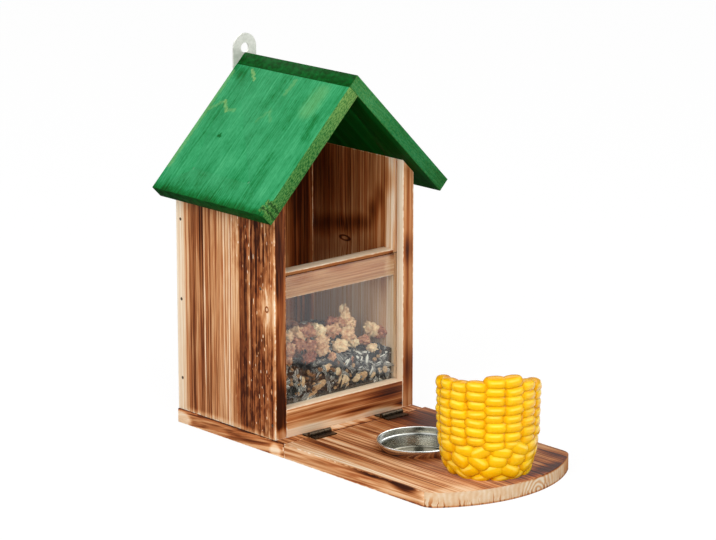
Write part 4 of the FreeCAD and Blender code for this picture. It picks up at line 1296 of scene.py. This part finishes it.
# %% Walnut kernels
WALNUT_SHAPES = 5
TEXTURE_STEP = 7.3
TEXTURE_SIDE = 2.1
WALNUTS_BEHIND = 16
WALNUTS = [(-39, 78, 14, 15, 12), (-30, 79, 12, 13, 11), (-46, 69, 7, 10, 9), (-47, 62, 7, 8, 8),
           (-37, 71, 9, 12, 11), (-27, 68, 8, 10, 11), (-27, 60, 6, 11, 10), (-20, 77, 12, 12, 11),
           (-15, 69, 7, 14, 10), (-15, 63, 6, 12, 9), (-6, 75, 13, 13, 11), (-9, 81, 18, 12, 9),
           (0, 63, 7, 12, 9), (7, 71, 9, 14, 10), (4, 85, 20, 9, 15), (8, 78, 18, 12, 10),
           (12, 64, 9, 9, 9), (1, 79, 20, 12, 9), (-7, 57, 6, 7, 7), (-13, 50.5, 5, 10, 9),
           (11, 51.5, 4, 6, 5), (22, 63, 14, 10, 8), (29, 69, 17, 12, 12), (37, 66, 14, 11, 10),
           (31, 56, 5, 9, 7), (-48, 78, 14, 10, 10)]


def walnut_shape(number):
    """One pattern: a ball displaced twice, each number at its own place in the textures."""
    start = Vector((TEXTURE_STEP * number, TEXTURE_SIDE, 0))
    piece = added(bpy.ops.mesh.primitive_ico_sphere_add, "walnut_shape", subdivisions=4, radius=1,
                  location=start)
    lumps = bpy.data.textures.new("walnut_lumps", "CLOUDS")
    lumps.noise_scale = 0.9
    creases = bpy.data.textures.new("walnut_creases", "VORONOI")
    creases.noise_scale = 0.55
    creases.distance_metric = "DISTANCE"
    modify(piece, "DISPLACE", texture=lumps, texture_coords="LOCAL", strength=0.9, mid_level=0.5)
    modify(piece, "DISPLACE", texture=creases, texture_coords="LOCAL", strength=-0.6, mid_level=0.3)
    piece.location = -start
    return keep_pattern(settle(piece, "walnut_shape"))


def behind(x, z, depth):
    """The place this deep behind the window that is seen through its front at x and z."""
    return Vector((x, pane_low.y, z)) + sight * (depth / sight.y)


shapes = [walnut_shape(number) for number in range(WALNUT_SHAPES)]
chance = random.Random(8)
walnuts = []
for n, (x, z, depth, width, height) in enumerate(WALNUTS):
    turn = spin("Z", chance.uniform(0, 360)) @ spin("X", chance.gauss(0, 20))
    walnuts.append(resting(stamped(shapes[n % WALNUT_SHAPES], "walnut", behind(x, z, depth), turn,
                                   (width, width * 0.85, height), chance.random())))
for n in range(WALNUTS_BEHIND):
    x = chance.uniform(-42, 30)
    y = chance.uniform(bin_low.y + 26, bin_high.y - 18)
    size = chance.uniform(11, 16)
    turn = spin("Z", chance.uniform(0, 360)) @ spin("X", chance.gauss(0, 25))
    walnuts.append(stamped(shapes[n % WALNUT_SHAPES], "walnut", (x, y, heap_top(x, y) + size * 0.3), turn,
                           (size, size * 0.85, size * 0.75), chance.random()))
walnut_heap = merged(walnuts, "walnuts")
walnut_meat = kernel_meat("walnut_meat", [(0.1, 84, 38, 24), (0.3, 140, 76, 52), (0.5, 192, 132, 96),
                                          (0.7, 226, 184, 138), (0.9, 242, 218, 172)], 9.0)
dress(walnut_heap, walnut_meat, "feeder_box", "walnut", "walnut_kernels")
put_away(seed_shape, nut_shape, *shapes)
